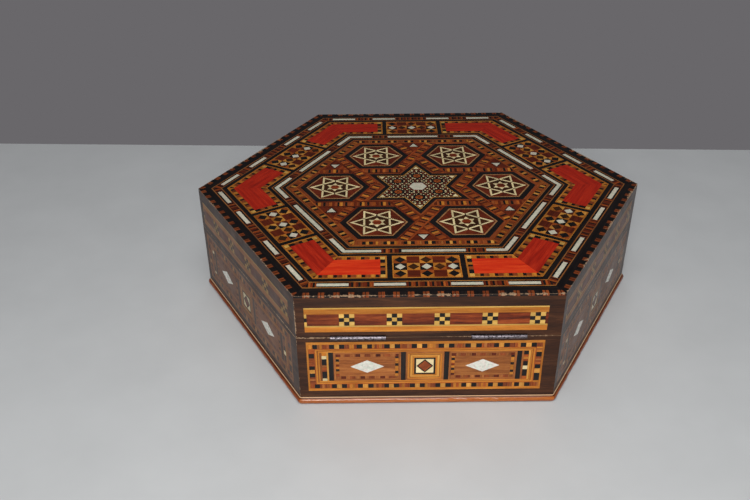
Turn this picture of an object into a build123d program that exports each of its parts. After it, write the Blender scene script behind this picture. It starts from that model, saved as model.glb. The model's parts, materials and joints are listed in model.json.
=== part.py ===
from build123d import *
import os
from math import cos, radians, sin, sqrt

# A hexagonal marquetry box: a hinged lid, a side panel that slides to bare the keyhole, a hidden
# key drawer fronted by the base moulding, and a small lock.
# Millimetres, +Z up. The origin lies on the floor under the centre of the box. The hinge side
# faces -Y, the lock side +Y, and two corners of the hexagon lie on the X axis.
# Every side is drawn as the hinge side, x to the right and seen from outside, and turned into
# place. Depths across a side are apothems: distances from the centre to the flat of a hexagon.

# ---- Marquetry on top, from the centre outwards ----
pearl_r = 5.2            # pearl hexagon in the middle
star_r = 26.5            # tips of the centre star
star_border = 3.4        # ebony band round the star
medallion_gap = 9.3      # from the border star to a medallion
medallion_r = 20.5       # corners of a medallion
medallion_frame = 3.1    # its ebony frame
medallion_line = 0.8     # the light line inside the frame
medallion_star_r = 14.0  # tips of its bone star
star_line = 1.15         # width of the star's bone strips
spark_side = 2.8         # the six small bone triangles inside the star
spark_orbit = 3.7
triangle_side = 5.2      # pearl triangles between the medallions
field_margin = 2.0       # from a medallion to the corner of the field
field_mosaic = 4.9       # dash mosaic round the field
light_line = 0.9         # light stringing between the bands
ebony_inner = 1.8        # ebony bands, named from the centre outwards
ebony_second = 2.0
ebony_third = 2.4
ebony_outer = 3.55
pearl_band_inner = 3.8   # rows of pearl bars, with their dark edges
pearl_band_outer = 4.0
pearl_bar_w = 2.9
pearl_bar_outer = 15.6   # length of a bar in the outer row
outer_spacer = 12.2      # mosaic between the two bars of a pair
outer_middle = 21.8      # mosaic between the two pairs
pearl_bar_inner = 33.2   # length of the long bar in the inner row
inner_spacer = 10.5
lattice_columns = 5
lattice_rows = 3
lattice_pitch_x = 6.6
lattice_pitch_y = 6.4
lattice_edge = 0.7
lattice_bar = 2.6        # ebony bar at each end of a lattice
lattice_pearl = 5.2      # pearl diamond, corner to corner
chevron_frame = 3.4      # dash mosaic round the red pieces
edge_mosaic = 2.95       # dash mosaic along the arris

# ---- Marquetry on the sides ----
post_w = 5.9             # walnut border at the corners
field_shift = -1.4       # the inlay sits a little left of the middle of each side
lower_border = 4.2       # walnut under the base's inlay
base_field_h = 31.2
upper_border = 2.6
frame_w = 6.5            # dash mosaic frame of the base's inlay
block_column = 4.3       # column of bone and ebony blocks
side_bar_w = 2.4         # upright ebony bars
centre_half = 9.6        # half the width of the middle panel
tile_side = 10.6
lozenge_w = 17.0
lozenge_h = 8.0
lid_lower_border = 3.4
light_band = 3.8
redwood_strip = 6.9
lid_upper_border = 5.8
check_block = 7.5        # 3 by 3 checker blocks in the redwood strip
check_pitch = 23.1
check_end = 1.3          # redwood right of the last block

# ---- Carcass ----
veneer = 1.2
wall = 6.5
board = 2.5              # bottom board
false_floor = 2.5
top_board = 5.0
moulding_h = 4.0
moulding_proud = 1.6     # past the veneer
seam = 0.2               # between the base's rim and the lid
lining = 1.2             # velvet-covered card
lining_drop = 0.8        # from the rims to the lining on the walls

# ---- Hinges ----
hinge_len = 27.2
hinge_x = 34.6           # middle of each hinge
leaf = 0.7
leaf_depth = 6.5         # leaf inside the side face
knuckle_r = 1.1
pivot_out = 0.35         # the pivot lies just outside the side face
pin_r = 0.6
knuckles = 3
knuckle_gap = 0.15
hinge_screws = 2
hinge_screw_pitch = 16.0

# ---- Screws ----
head_r = 1.4
shank_r = 0.7
screw_len = 5.5
lock_screw_len = 4.4     # shorter, as the sliding panel is let into the other side of that wall
screw_fit = 0.05
screw_sides = 6          # so small and so many that few sides are enough

# ---- Sliding side panel ----
panel_core = 2.4         # wood behind the panel's veneer
panel_slide = 20.0
rail_start = 22.0        # from the panel's closing edge
rail_len = 32.0
rail_neck_h = 3.0
rail_neck = 1.1
rail_head_h = 6.0
rail_head = 1.3
slide_fit = 0.15

# ---- Lock ----
lock_z = 24.0            # height of the keyhole
case_w = 26.0
case_drop = 0.5          # from the rim to the top of the case
case_foot = 0.6          # from the lining on the floor to the case
case_d = 6.6
case_t = 0.9
flange_w = 5.0
flange_t = 1.2
lock_screw_inset = 1.8   # from the ends of the flanges to the screws
tongue_w = 5.0
tongue_t = 1.2
tongue_back = 0.6        # from the wall to the tongue
tongue_drop = 8.5        # below the rim
notch_h = 3.0
tongue_lip = 2.3
strike_w = 14.0
strike_h = 11.0
strike_rise = 1.3        # from the lid's rim to the strike plate
strike_screw_gap = 8.0
bolt_throw = 2.6
bolt_rest_gap = 0.5      # between the tongue and the withdrawn bolt
bolt_finger_h = 2.4
bolt_finger = 3.2
bolt_body = 5.0
bolt_h = 9.0
key_pin_r = 0.8
keyhole_r = 2.2
keyhole_slot_w = 1.8
keyhole_slot_h = 5.0

# ---- Key drawer ----
tray_w = 72.0
tray_d = 58.0
tray_floor = 1.0
tray_wall = 2.0
tray_front = 4.0
floor_gap = 0.2          # the moving moulding clears the table
runner_w = 8.0
stop_w = 6.0
bow_r = 8.0
bow_hole_r = 5.0
bow_t = 2.4
key_shank_r = 1.6
key_len = 26.0
key_bore_r = 0.9
key_bore = 8.0
bit_w = 4.0
bit_len = 4.4
bit_t = 1.6
key_setback = 14.0       # from the tray's front wall to the key

# ---- Levels and apothems worked out from the above ----
COS30 = cos(radians(30))
border_star_r = star_r + 2 * star_border
medallion_orbit = border_star_r / sqrt(3) + medallion_gap + medallion_r
field_a = (medallion_orbit + medallion_r + field_margin) * COS30
panel_band = lattice_rows * lattice_pitch_y + 2 * lattice_edge
a_field_mosaic = field_a + field_mosaic
a_line_1 = a_field_mosaic + light_line
a_ebony_1 = a_line_1 + ebony_inner
a_line_2 = a_ebony_1 + light_line
a_pearl_1 = a_line_2 + pearl_band_inner
a_line_3 = a_pearl_1 + light_line
a_ebony_2 = a_line_3 + ebony_second
a_panels = a_ebony_2 + panel_band
a_ebony_3 = a_panels + ebony_third
a_line_4 = a_ebony_3 + light_line
a_pearl_2 = a_line_4 + pearl_band_outer
a_line_5 = a_pearl_2 + light_line
a_ebony_4 = a_line_5 + ebony_outer
outside = a_ebony_4 + edge_mosaic        # apothem of the finished box
wall_out = outside - veneer
wall_in = wall_out - wall
field_half = outside / sqrt(3) - post_w

field_z = moulding_h + lower_border
field_top = field_z + base_field_h
rim = field_top + upper_border
pivot_z = rim + seam / 2
lid_rim = rim + seam
strip_z = lid_rim + lid_lower_border + light_band
strip_top = strip_z + redwood_strip
veneer_z = strip_top + light_band + lid_upper_border
top = veneer_z + veneer
lid_ceiling = veneer_z - top_board
floor_z = field_z + false_floor          # the false floor lies over the drawer
case_top = rim - case_drop
case_low = floor_z + lining + case_foot

split_x = field_shift - centre_half - side_bar_w   # the sliding panel's closing edge
key_x = split_x + panel_slide / 2
REACH = 2 * outside                       # past anything in the box

nodes = {}


# ---- Shapes ----
def corner(apothem):
    """Half the length of a hexagon's side."""
    return apothem / sqrt(3)


def prism(points, z0, z1):
    return extrude(Pos(0, 0, z0) * Polygon(*points, align=None), amount=z1 - z0, dir=(0, 0, 1))


def polar(radius, angle):
    return radius * cos(radians(angle)), radius * sin(radians(angle))


def hexagon(radius, turn=0):
    """Corner points of a regular hexagon, the first at the angle turn."""
    return [polar(radius, 60 * k + turn) for k in range(6)]


def hexagram(tip, turn=0):
    """Outline of a six-pointed star made of two triangles, its first tip at the angle turn."""
    tips = hexagon(tip, turn)
    notches = hexagon(tip / sqrt(3), turn + 30)
    return [point for pair in zip(tips, notches) for point in pair]


def triangle(side, turn=0):
    """Corners of an equilateral triangle about its centre, the first at the angle turn."""
    radius = side / sqrt(3)
    return [polar(radius, 120 * k + turn) for k in range(3)]


def diamond(width, height):
    return [(-width / 2, 0), (0, -height / 2), (width / 2, 0), (0, height / 2)]


def mitred(inner, outer, z0, z1):
    """A strip along the hinge side, mitred into its neighbours."""
    outline = [(-corner(inner), -inner), (-corner(outer), -outer),
               (corner(outer), -outer), (corner(inner), -inner)]
    return prism(outline, z0, z1)


def half_mitred(x0, inner, outer, z0, z1):
    """The right end of such a strip, from x0 to the mitre."""
    outline = [(x0, -inner), (x0, -outer), (corner(outer), -outer), (corner(inner), -inner)]
    return prism(outline, z0, z1)


def block(x0, x1, inner, outer, z0, z1):
    """A plain block on the hinge side."""
    size = Box(x1 - x0, outer - inner, z1 - z0)
    return Pos((x0 + x1) / 2, -(inner + outer) / 2, (z0 + z1) / 2) * size


def face_tile(points, x, z, inner, outer):
    """A tile on the hinge side with its outline in x and z."""
    outline = Plane.XZ.offset(inner) * Pos(x, z) * Polygon(*points, align=None)
    return extrude(outline, amount=outer - inner, dir=(0, -1, 0))


def on_side(shape, side):
    """Turns a shape from the hinge side to side 0 to 5, anticlockwise from above."""
    return Rot(0, 0, 60 * side) * shape


def add(node, *shapes):
    nodes.setdefault(node, [])
    for shape in shapes:
        nodes[node] += shape.solids()


def cut(node, tool):
    """Takes a tool out of those solids of a node that it reaches."""
    nodes[node] = [piece for solid in nodes[node] for piece in take(solid, tool)]


def take(solid, tool):
    low, high = solid.bounding_box(), tool.bounding_box()
    apart = (low.min.X > high.max.X or high.min.X > low.max.X or low.min.Y > high.max.Y
             or high.min.Y > low.max.Y or low.min.Z > high.max.Z or high.min.Z > low.max.Z)
    return [solid] if apart else (solid - tool).solids()


def around(shape, radius, turn=0):
    """Six copies at a radius, the first at the angle turn, each turned with its place."""
    return [Rot(0, 0, 60 * k + turn) * Pos(radius, 0, 0) * shape for k in range(6)]


# ---- Hinges ----
def hinge_cylinder(radius, x0, x1):
    rod = Rot(0, 90, 0) * Cylinder(radius, x1 - x0)
    return Pos((x0 + x1) / 2, -(outside + pivot_out), pivot_z) * rod


def knuckle_span(index):
    pitch = (hinge_len + knuckle_gap) / knuckles
    start = -hinge_len / 2 + index * pitch
    return start, start + pitch - knuckle_gap


def screw_places():
    return [(index - (hinge_screws - 1) / 2) * hinge_screw_pitch for index in range(hinge_screws)]


def screw(fit=0.0, length=screw_len):
    """A countersunk screw pointing down, its head flush with z = 0; fit makes its hole."""
    shank = RegularPolygon(shank_r + fit, screw_sides)
    head = loft([RegularPolygon(head_r + fit, screw_sides), Pos(0, 0, -leaf) * shank], ruled=True)
    return head + extrude(shank, amount=length, dir=(0, 0, -1))


def leaf_screws(surface_z, direction, fit=0.0):
    """The screws of one leaf of a hinge centred on x = 0; direction is 1 pointing down, -1 up."""
    turn = Rot(0, 0, 0) if direction > 0 else Rot(180, 0, 0)
    y = -(outside - (leaf_depth + veneer) / 2)
    return [Pos(x, y, surface_z) * turn * screw(fit) for x in screw_places()]


def hinge_leaf(direction, own):
    """One leaf with its knuckles; direction is -1 for the base's leaf and 1 for the lid's."""
    inner, outer = outside - leaf_depth, outside + pivot_out
    flat = pivot_z + direction * seam / 2
    z0, z1 = sorted((flat, flat + direction * leaf))
    plate = block(-hinge_len / 2, hinge_len / 2, inner, outer, z0, z1)
    for index in range(knuckles):
        start, end = knuckle_span(index)
        if index in own:
            plate += hinge_cylinder(knuckle_r, start, end)
        else:
            room = knuckle_r + knuckle_gap
            plate -= block(start - knuckle_gap, end + knuckle_gap, outer - room, outer + room,
                           pivot_z - room, pivot_z + room)
    plate -= hinge_cylinder(pin_r + screw_fit, -hinge_len, hinge_len)
    for hole in leaf_screws(flat, -direction, screw_fit):
        plate -= hole
    return plate


def hinge_seat(direction):
    """The rebate in a rim for a leaf and its half of the barrel."""
    half = hinge_len / 2 + knuckle_gap
    flat = pivot_z + direction * seam / 2
    room = knuckle_r + 2 * knuckle_gap
    leaf_z = sorted((flat - direction * seam, flat + direction * leaf))
    barrel_z = sorted((flat - direction * seam, pivot_z + direction * room))
    seat = block(-half, half, outside - leaf_depth - knuckle_gap, outside + veneer, *leaf_z)
    seat += block(-half, half, outside + pivot_out - room, outside + veneer, *barrel_z)
    for hole in leaf_screws(flat, -direction, screw_fit):
        seat += hole
    return seat


def add_hinges():
    odd = range(0, knuckles, 2)
    even = range(1, knuckles, 2)
    for x in (-hinge_x, hinge_x):
        place = Pos(x, 0, 0)
        add("hinge_base_leaves", place * hinge_leaf(-1, odd))
        add("hinge_lid_leaves", place * hinge_leaf(1, even))
        add("hinge_pins", place * hinge_cylinder(pin_r, -hinge_len / 2, hinge_len / 2))
        add("base_screws", *[place * one for one in leaf_screws(rim, 1)])
        add("lid_screws", *[place * one for one in leaf_screws(lid_rim, -1)])
        for node in ("base_wall_hinge", "base_walnut_borders"):
            cut(node, place * hinge_seat(-1))
        for node in ("lid_wall_hinge", "lid_walnut_borders"):
            cut(node, place * hinge_seat(1))


# ---- Carcass ----
def add_carcass():
    names = ("hinge", "side", "side", "lock", "side", "side")
    for side, name in enumerate(names):
        suffix = "side_walls" if name == "side" else "wall_" + name
        add("base_" + suffix, on_side(mitred(wall_in, wall_out, board, rim), side))
        add("lid_" + suffix, on_side(mitred(wall_in, wall_out, lid_rim, lid_ceiling), side))
    add("bottom_board", prism(hexagon(wall_out / COS30), 0, board))
    add("false_floor", prism(hexagon(wall_in / COS30), field_z, floor_z))
    add("lid_top_board", prism(hexagon(wall_out / COS30), lid_ceiling, veneer_z))


def add_linings():
    add("base_lining", prism(hexagon(wall_in / COS30), floor_z, floor_z + lining))
    add("lid_lining", prism(hexagon(wall_in / COS30), lid_ceiling - lining, lid_ceiling))
    inner = wall_in - lining
    for side in range(6):
        base_pad = mitred(inner, wall_in, floor_z + lining, rim - lining_drop)
        lid_pad = mitred(inner, wall_in, lid_rim + lining_drop, lid_ceiling - lining)
        add("base_lining", on_side(base_pad, side))
        add("lid_lining", on_side(lid_pad, side))
    depths = (-slide_fit, lining + slide_fit)
    half_case = case_w / 2 + flange_w + slide_fit
    half_strike = strike_w / 2 + slide_fit
    strike_top = lid_rim + strike_rise + strike_h + slide_fit
    cut("base_lining", on_lock(lock_block(-half_case, half_case, *depths, case_low - slide_fit,
                                          rim)))
    cut("lid_lining", on_lock(lock_block(-half_strike, half_strike, *depths, lid_rim,
                                         strike_top)))


def moulding(z0=0.0):
    """A half-round strip along the hinge side, mitred at both ends."""
    depth = veneer + moulding_proud
    nose = moulding_h / 2
    flat = Pos(-wall_out - (depth - nose) / 2, nose) * Rectangle(depth - nose, moulding_h)
    profile = flat + Pos(-wall_out - depth + nose, nose) * Circle(nose)
    run = extrude(Plane.YZ * profile, amount=REACH, both=True, dir=(1, 0, 0))
    return run & mitred(wall_out, wall_out + depth, z0, moulding_h)


# ---- Sides of the base ----
def base_pattern():
    """The marquetry of one side of the base, as lists of solids by node."""
    left, right = field_shift - field_half, field_shift + field_half
    inner_left, inner_right = left + frame_w, right - frame_w
    low, high = field_z + frame_w, field_top - frame_w
    middle = (low + high) / 2
    skin = (wall_out, outside)
    post_r = half_mitred(right, *skin, moulding_h, rim)
    post_l = mirror(half_mitred(-left, *skin, moulding_h, rim), about=Plane.YZ)
    frame = block(left, right, *skin, field_z, field_top)
    frame -= block(inner_left, inner_right, *skin, low, high)
    pattern = {
        "walnut_borders": [post_l, post_r, block(left, right, *skin, moulding_h, field_z),
                           block(left, right, *skin, field_top, rim)],
        "mosaic_frames": [frame],
        "block_columns": [block(inner_left, inner_left + block_column, *skin, low, high),
                          block(inner_right - block_column, inner_right, *skin, low, high)],
        "ebony_bars": [], "walnut_panels": [], "pearl_lozenges": [],
    }
    for turn in (-1, 1):
        bars = (inner_half() - block_column, centre_half + side_bar_w)
        for far in bars:
            x0, x1 = sorted((turn * far, turn * (far - side_bar_w)))
            bar = block(field_shift + x0, field_shift + x1, *skin, low, high)
            pattern["ebony_bars"].append(bar)
        x0, x1 = sorted((turn * (bars[0] - side_bar_w), turn * bars[1]))
        x = field_shift + (x0 + x1) / 2
        outline = diamond(lozenge_w, lozenge_h)
        panel = block(field_shift + x0, field_shift + x1, *skin, low, high)
        pattern["walnut_panels"].append(panel - face_tile(outline, x, middle, *skin))
        pattern["pearl_lozenges"].append(face_tile(outline, x, middle, *skin))
    square = (field_shift - tile_side / 2, field_shift + tile_side / 2, *skin,
              middle - tile_side / 2, middle + tile_side / 2)
    mount = block(field_shift - centre_half, field_shift + centre_half, *skin, low, high)
    pattern["mosaic_frames"].append(mount - block(*square))
    pattern["centre_tiles"] = [block(*square)]
    return pattern


def inner_half():
    return field_half - frame_w


def add_base_sides():
    pattern = base_pattern()
    for kind, pieces in pattern.items():
        for side in range(6):
            if side != 3:
                add("base_" + kind, *[on_side(piece, side) for piece in pieces])
    for side in range(6):
        if side != 3:
            add("base_moulding", on_side(moulding(), side))
    return pattern


# ---- Sides of the lid ----
def lid_strip():
    """Blocks and redwood pieces along the strip, as (is_block, x0, x1) from right to left."""
    left, right = field_shift - field_half, field_shift + field_half
    pieces = [(False, right - check_end, right)]
    edge = right - check_end
    while edge > left:
        block_end = max(edge - check_block, left)
        pieces.append((True, block_end, edge))
        edge = edge - check_pitch
        if block_end > left:
            pieces.append((False, max(edge, left), block_end))
    return pieces


def add_lid_sides():
    left, right = field_shift - field_half, field_shift + field_half
    skin = (wall_out, outside)
    borders = [
        half_mitred(right, *skin, lid_rim, veneer_z),
        mirror(half_mitred(-left, *skin, lid_rim, veneer_z), about=Plane.YZ),
        block(left, right, *skin, lid_rim, lid_rim + lid_lower_border),
        block(left, right, *skin, strip_top + light_band, veneer_z),
    ]
    bands = [block(left, right, *skin, strip_z - light_band, strip_z),
             block(left, right, *skin, strip_top, strip_top + light_band)]
    for side in range(6):
        add("lid_walnut_borders", *[on_side(piece, side) for piece in borders])
        add("lid_light_bands", *[on_side(piece, side) for piece in bands])
        for is_block, x0, x1 in lid_strip():
            node = "lid_check_blocks" if is_block else "lid_redwood_strips"
            add(node, on_side(block(x0, x1, *skin, strip_z, strip_top), side))


# ---- Top of the lid ----
def top_strip(inner, outer):
    return mitred(inner, outer, veneer_z, top)


def top_block(x0, x1, inner, outer):
    return block(x0, x1, inner, outer, veneer_z, top)


def add_bands():
    lines = ((a_field_mosaic, a_line_1), (a_ebony_1, a_line_2), (a_pearl_1, a_line_3),
             (a_ebony_3, a_line_4), (a_pearl_2, a_line_5))
    ebony = ((a_line_1, a_ebony_1), (a_line_3, a_ebony_2), (a_panels, a_ebony_3),
             (a_line_5, a_ebony_4))
    mosaic = ((field_a, a_field_mosaic), (a_ebony_4, outside))
    for side in range(6):
        for node, bands in (("top_light_lines", lines), ("top_ebony_bands", ebony),
                            ("top_mosaic_bands", mosaic)):
            add(node, *[on_side(top_strip(*band), side) for band in bands])


def add_pearl_rows():
    """Rows of pearl bars let into mosaic strips."""
    outer_mid = (a_line_4 + a_pearl_2) / 2
    inner_mid = (a_line_2 + a_pearl_1) / 2
    half_w = pearl_bar_w / 2
    starts = (outer_middle / 2, outer_middle / 2 + pearl_bar_outer + outer_spacer)
    outer_bars = [top_block(*sorted((turn * start, turn * (start + pearl_bar_outer))),
                            outer_mid - half_w, outer_mid + half_w)
                  for start in starts for turn in (-1, 1)]
    long_half = pearl_bar_inner / 2
    corner_bar = half_mitred(long_half + inner_spacer, inner_mid - half_w, inner_mid + half_w,
                             veneer_z, top)
    inner_bars = [top_block(-long_half, long_half, inner_mid - half_w, inner_mid + half_w),
                  corner_bar, mirror(corner_bar, about=Plane.YZ)]
    for inner, outer, bars in ((a_line_4, a_pearl_2, outer_bars),
                               (a_line_2, a_pearl_1, inner_bars)):
        strip = top_strip(inner, outer)
        for bar in bars:
            strip -= bar
        for side in range(6):
            add("top_pearl_bars", *[on_side(bar, side) for bar in bars])
            add("top_bar_mosaic", on_side(strip, side))


def add_panels():
    """Lattice panels in the middle of each side, and red chevrons round each corner."""
    lattice_half = lattice_columns * lattice_pitch_x / 2 + lattice_edge
    bar_end = lattice_half + lattice_bar
    middle = (a_ebony_2 + a_panels) / 2
    lattice = top_block(-lattice_half, lattice_half, a_ebony_2, a_panels)
    pearls = []
    for column in range(0, lattice_columns, 2):
        x = (column - (lattice_columns - 1) / 2) * lattice_pitch_x
        outline = [(x + px, py - middle) for px, py in diamond(lattice_pearl, lattice_pearl)]
        pearls.append(prism(outline, veneer_z, top))
    for pearl in pearls:
        lattice -= pearl
    bars = [top_block(lattice_half, bar_end, a_ebony_2, a_panels),
            top_block(-bar_end, -lattice_half, a_ebony_2, a_panels)]
    red = half_mitred(bar_end + chevron_frame, a_ebony_2 + chevron_frame,
                      a_panels - chevron_frame, veneer_z, top)
    frame = half_mitred(bar_end, a_ebony_2, a_panels, veneer_z, top) - red
    for side in range(6):
        add("top_lattices", on_side(lattice, side))
        add("top_pearl_inlays", *[on_side(pearl, side) for pearl in pearls])
        add("top_ebony_bands", *[on_side(bar, side) for bar in bars])
        for leg, node in ((red, "top_red_chevrons"), (frame, "top_chevron_frames")):
            add(node, on_side(leg, side), on_side(mirror(leg, about=Plane.YZ), side))


def star_points():
    """The bone strips of a medallion's star: six outlined triangles and six small ones."""
    side = medallion_star_r / sqrt(3)
    orbit = medallion_star_r - side / sqrt(3)
    outline = prism(triangle(side), veneer_z, top)
    core = prism(triangle(side - 2 * sqrt(3) * star_line), veneer_z, top)
    spark = prism(triangle(spark_side), veneer_z, top)
    return around(outline, orbit), around(core, orbit), around(spark, spark_orbit, 30)


def add_medallions():
    outlines, cores, sparks = star_points()
    outer = prism(hexagon(medallion_r), veneer_z, top)
    line_r = medallion_r - medallion_frame / COS30
    ground_r = line_r - medallion_line / COS30
    line = prism(hexagon(line_r), veneer_z, top)
    ground = prism(hexagon(ground_r), veneer_z, top)
    frame = outer - line
    line -= ground
    for shape in outlines + sparks:
        ground -= shape
    strips = [whole - core for whole, core in zip(outlines, cores)]
    for angle in range(0, 360, 60):
        place = Rot(0, 0, angle) * Pos(medallion_orbit, 0, 0) * Rot(0, 0, -angle)
        add("field_ebony_frames", place * frame)
        add("top_light_lines", place * line)
        add("medallion_grounds", place * ground, *[place * core for core in cores])
        add("medallion_stars", *[place * strip for strip in strips + sparks])


def add_field():
    """The ground between the medallions, the pearl triangles in it and the centre star."""
    field = prism(hexagon(field_a / COS30), veneer_z, top)
    for angle in range(0, 360, 60):
        place = Rot(0, 0, angle) * Pos(medallion_orbit, 0, 0)
        field -= place * prism(hexagon(medallion_r), veneer_z, top)
    strap = (medallion_orbit - medallion_r) * COS30   # outer edge of the straps round the star
    pearl_orbit = (field_a + strap) / 1.5             # middle of the triangle where two straps cross
    pearls = around(prism(triangle(triangle_side), veneer_z, top), pearl_orbit, 30)
    border = prism(hexagram(border_star_r, 30), veneer_z, top)
    star = prism(hexagram(star_r, 30), veneer_z, top)
    pearl = prism(hexagon(pearl_r), veneer_z, top)
    for shape in pearls + [border]:
        field -= shape
    add("top_field", field)
    add("top_pearl_inlays", pearl, *pearls)
    add("field_ebony_frames", border - star)
    add("centre_star", star - pearl)


# ---- Sliding panel, in the lock side ----
def on_lock(shape):
    return on_side(shape, 3)


def rail(fit=0.0):
    """The T rail behind the panel; fit makes its slot, which runs out through the mitre."""
    face = wall_out - panel_core
    x0 = split_x + rail_start - fit
    x1 = REACH if fit else x0 + rail_len
    z = (field_z + field_top) / 2
    neck = block(x0, x1, face - rail_neck - fit, face + fit, z - rail_neck_h / 2 - fit,
                 z + rail_neck_h / 2 + fit)
    head = block(x0, x1, face - rail_neck - rail_head - fit, face - rail_neck + fit,
                 z - rail_head_h / 2 - fit, z + rail_head_h / 2 + fit)
    return neck + head


def add_sliding_panel(pattern):
    """Splits the lock side's marquetry between the panel and the fixed wall."""
    face = wall_out - panel_core
    space = block(split_x, REACH, face - slide_fit, REACH, field_z, field_top)
    room = block(split_x + slide_fit, REACH, face, REACH, field_z + slide_fit,
                 field_top - slide_fit)
    body = prism(hexagon(outside / COS30), 0, rim) & room
    for kind, pieces in pattern.items():
        for piece in pieces:
            moving = piece & room
            fixed = piece - space
            if moving.solids():
                add("panel_" + kind, *[on_lock(one) for one in moving.solids()])
                body -= moving
            if fixed.solids():
                add("base_" + kind, *[on_lock(one) for one in fixed.solids()])
    slot = rail(slide_fit) & mitred(0, wall_out, board, rim)
    add("panel_core", on_lock(body + rail()))
    cut("base_wall_lock", on_lock(space + slot))
    for node in ("base_side_walls", "base_walnut_borders", "base_mosaic_frames"):
        cut(node, on_lock(space))


# ---- Lock ----
def lock_block(x0, x1, near, far, z0, z1):
    """A block on the inner face of the lock wall; near and far are depths inwards from it."""
    return block(key_x + x0, key_x + x1, wall_in - far, wall_in - near, z0, z1)


def lock_rod(radius, near, far, x=0.0, z=lock_z):
    rod = Rot(90, 0, 0) * Cylinder(radius, far - near)
    return Pos(key_x + x, -(wall_in - (near + far) / 2), z) * rod


def lock_screw(x, z, depth, fit=0.0):
    """A screw through a plate of that thickness, into the lock wall."""
    place = Pos(key_x + x, -(wall_in - depth), z) * Rot(-90, 0, 0)
    return place * screw(fit, lock_screw_len)


def case_screw_places():
    x = case_w / 2 + flange_w / 2
    ends = (case_low + flange_w + lock_screw_inset, case_top - flange_w - lock_screw_inset)
    return [(side * x, z) for side in (-1, 1) for z in ends]


def strike_screw_places():
    z = lid_rim + strike_rise + strike_h - head_r - 2 * case_t
    return [(side * strike_screw_gap / 2, z) for side in (-1, 1)]


def add_lock():
    half = case_w / 2
    case = lock_block(-half, half, 0, case_d, case_low, case_top)
    case += lock_block(-half - flange_w, half + flange_w, 0, flange_t, case_low + flange_w,
                       case_top - flange_w)
    case -= lock_block(case_t - half, half - case_t, 0, case_d - case_t, case_low + case_t,
                       case_top - case_t)
    slot_half = tongue_w / 2 + seam
    case -= lock_block(-slot_half, slot_half, 0, tongue_back + tongue_t + seam,
                       case_low + case_t, REACH)
    for x, z in case_screw_places():
        case -= lock_screw(x, z, flange_t, screw_fit)
        add("base_screws", on_lock(lock_screw(x, z, flange_t)))
        cut("base_wall_lock", on_lock(lock_screw(x, z, flange_t, screw_fit)))
    add("lock_case", on_lock(case))
    add("key_pin", on_lock(lock_rod(key_pin_r, -wall / 2, case_d - case_t)))
    keyhole = lock_rod(keyhole_r, -wall - veneer, 0)
    keyhole += lock_block(-keyhole_slot_w / 2, keyhole_slot_w / 2, -wall - veneer, 0,
                          lock_z - keyhole_slot_h, lock_z)
    cut("base_wall_lock", on_lock(keyhole))
    add_bolt()
    add_strike()


def add_bolt():
    """A sliding block with a finger that enters the tongue's notch."""
    z0 = rim - tongue_drop + tongue_lip + (notch_h - bolt_finger_h) / 2
    finger_x = tongue_w / 2 + bolt_rest_gap
    finger = lock_block(finger_x, finger_x + bolt_finger, tongue_back, tongue_back + tongue_t,
                        z0, z0 + bolt_finger_h)
    body_x = finger_x + bolt_finger
    body = lock_block(body_x, body_x + bolt_body, slide_fit, case_d - case_t - slide_fit,
                      z0 + bolt_finger_h - bolt_h, z0 + bolt_finger_h)
    add("lock_bolt", on_lock(finger + body))


def add_strike():
    """The plate in the lid, with a notched tongue that drops into the lock."""
    half = strike_w / 2
    plate_z = lid_rim + strike_rise
    tip = rim - tongue_drop
    strike = lock_block(-half, half, 0, tongue_back + tongue_t, plate_z, plate_z + strike_h)
    strike += lock_block(-tongue_w / 2, tongue_w / 2, tongue_back, tongue_back + tongue_t, tip,
                         plate_z + strike_rise)
    strike -= lock_block(0, tongue_w, 0, REACH, tip + tongue_lip, tip + tongue_lip + notch_h)
    depth = tongue_back + tongue_t
    for x, z in strike_screw_places():
        strike -= lock_screw(x, z, depth, screw_fit)
        add("lid_screws", on_lock(lock_screw(x, z, depth)))
        cut("lid_wall_lock", on_lock(lock_screw(x, z, depth, screw_fit)))
    add("lock_strike", on_lock(strike))


# ---- Key drawer, under the false floor ----
def add_drawer():
    half = tray_w / 2
    low, high = board + slide_fit, field_z - slide_fit
    back = wall_out - tray_d
    tray = block(-half, half, back, wall_out, low, high)
    tray -= block(tray_wall - half, half - tray_wall, back + tray_wall, wall_out - tray_front,
                  low + tray_floor, REACH)
    add("key_tray", on_lock(tray))
    add("drawer_moulding", on_lock(moulding(floor_gap)))
    left, right = field_shift - field_half + slide_fit, field_shift + field_half - slide_fit
    add("drawer_walnut_band", on_lock(block(left, right, wall_out, outside, moulding_h, high)))
    cut("base_wall_lock", on_lock(block(-half - slide_fit, half + slide_fit, 0, REACH, 0, field_z)))
    cut("base_walnut_borders", on_lock(block(left - slide_fit, right + slide_fit, 0, REACH, 0,
                                             field_z)))
    inside = prism(hexagon(wall_in / COS30), board, field_z)
    for side in (-1, 1):
        x0, x1 = sorted((side * (half + slide_fit), side * (half + slide_fit + runner_w)))
        add("drawer_runners", inside & block(x0, x1, -wall_in, wall_in, board, field_z))
    stop = block(-half - slide_fit, half + slide_fit, back - slide_fit - stop_w, back - slide_fit,
                 board, field_z)
    add("drawer_runners", on_lock(stop))
    add_key(low + tray_floor)


def add_key(table):
    """A barrel key lying along the drawer, on the tray's floor."""
    rod = Rot(0, 90, 0) * Cylinder(key_shank_r, key_len)
    bore = Pos((key_len - key_bore) / 2, 0, 0) * Rot(0, 90, 0) * Cylinder(key_bore_r, key_bore)
    bit = Pos(key_len / 2 - bit_w, (key_shank_r + bit_len) / 2, 0) * Box(bit_w, bit_len, bit_t)
    bow = Pos(-key_len / 2 - bow_hole_r, 0, 0)
    key = rod + bit + bow * Cylinder(bow_r, bow_t) - bow * Cylinder(bow_hole_r, REACH) - bore
    y = -(wall_out - tray_front - key_setback)
    add("key", on_lock(Pos(0, y, table + key_shank_r) * key))


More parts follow.
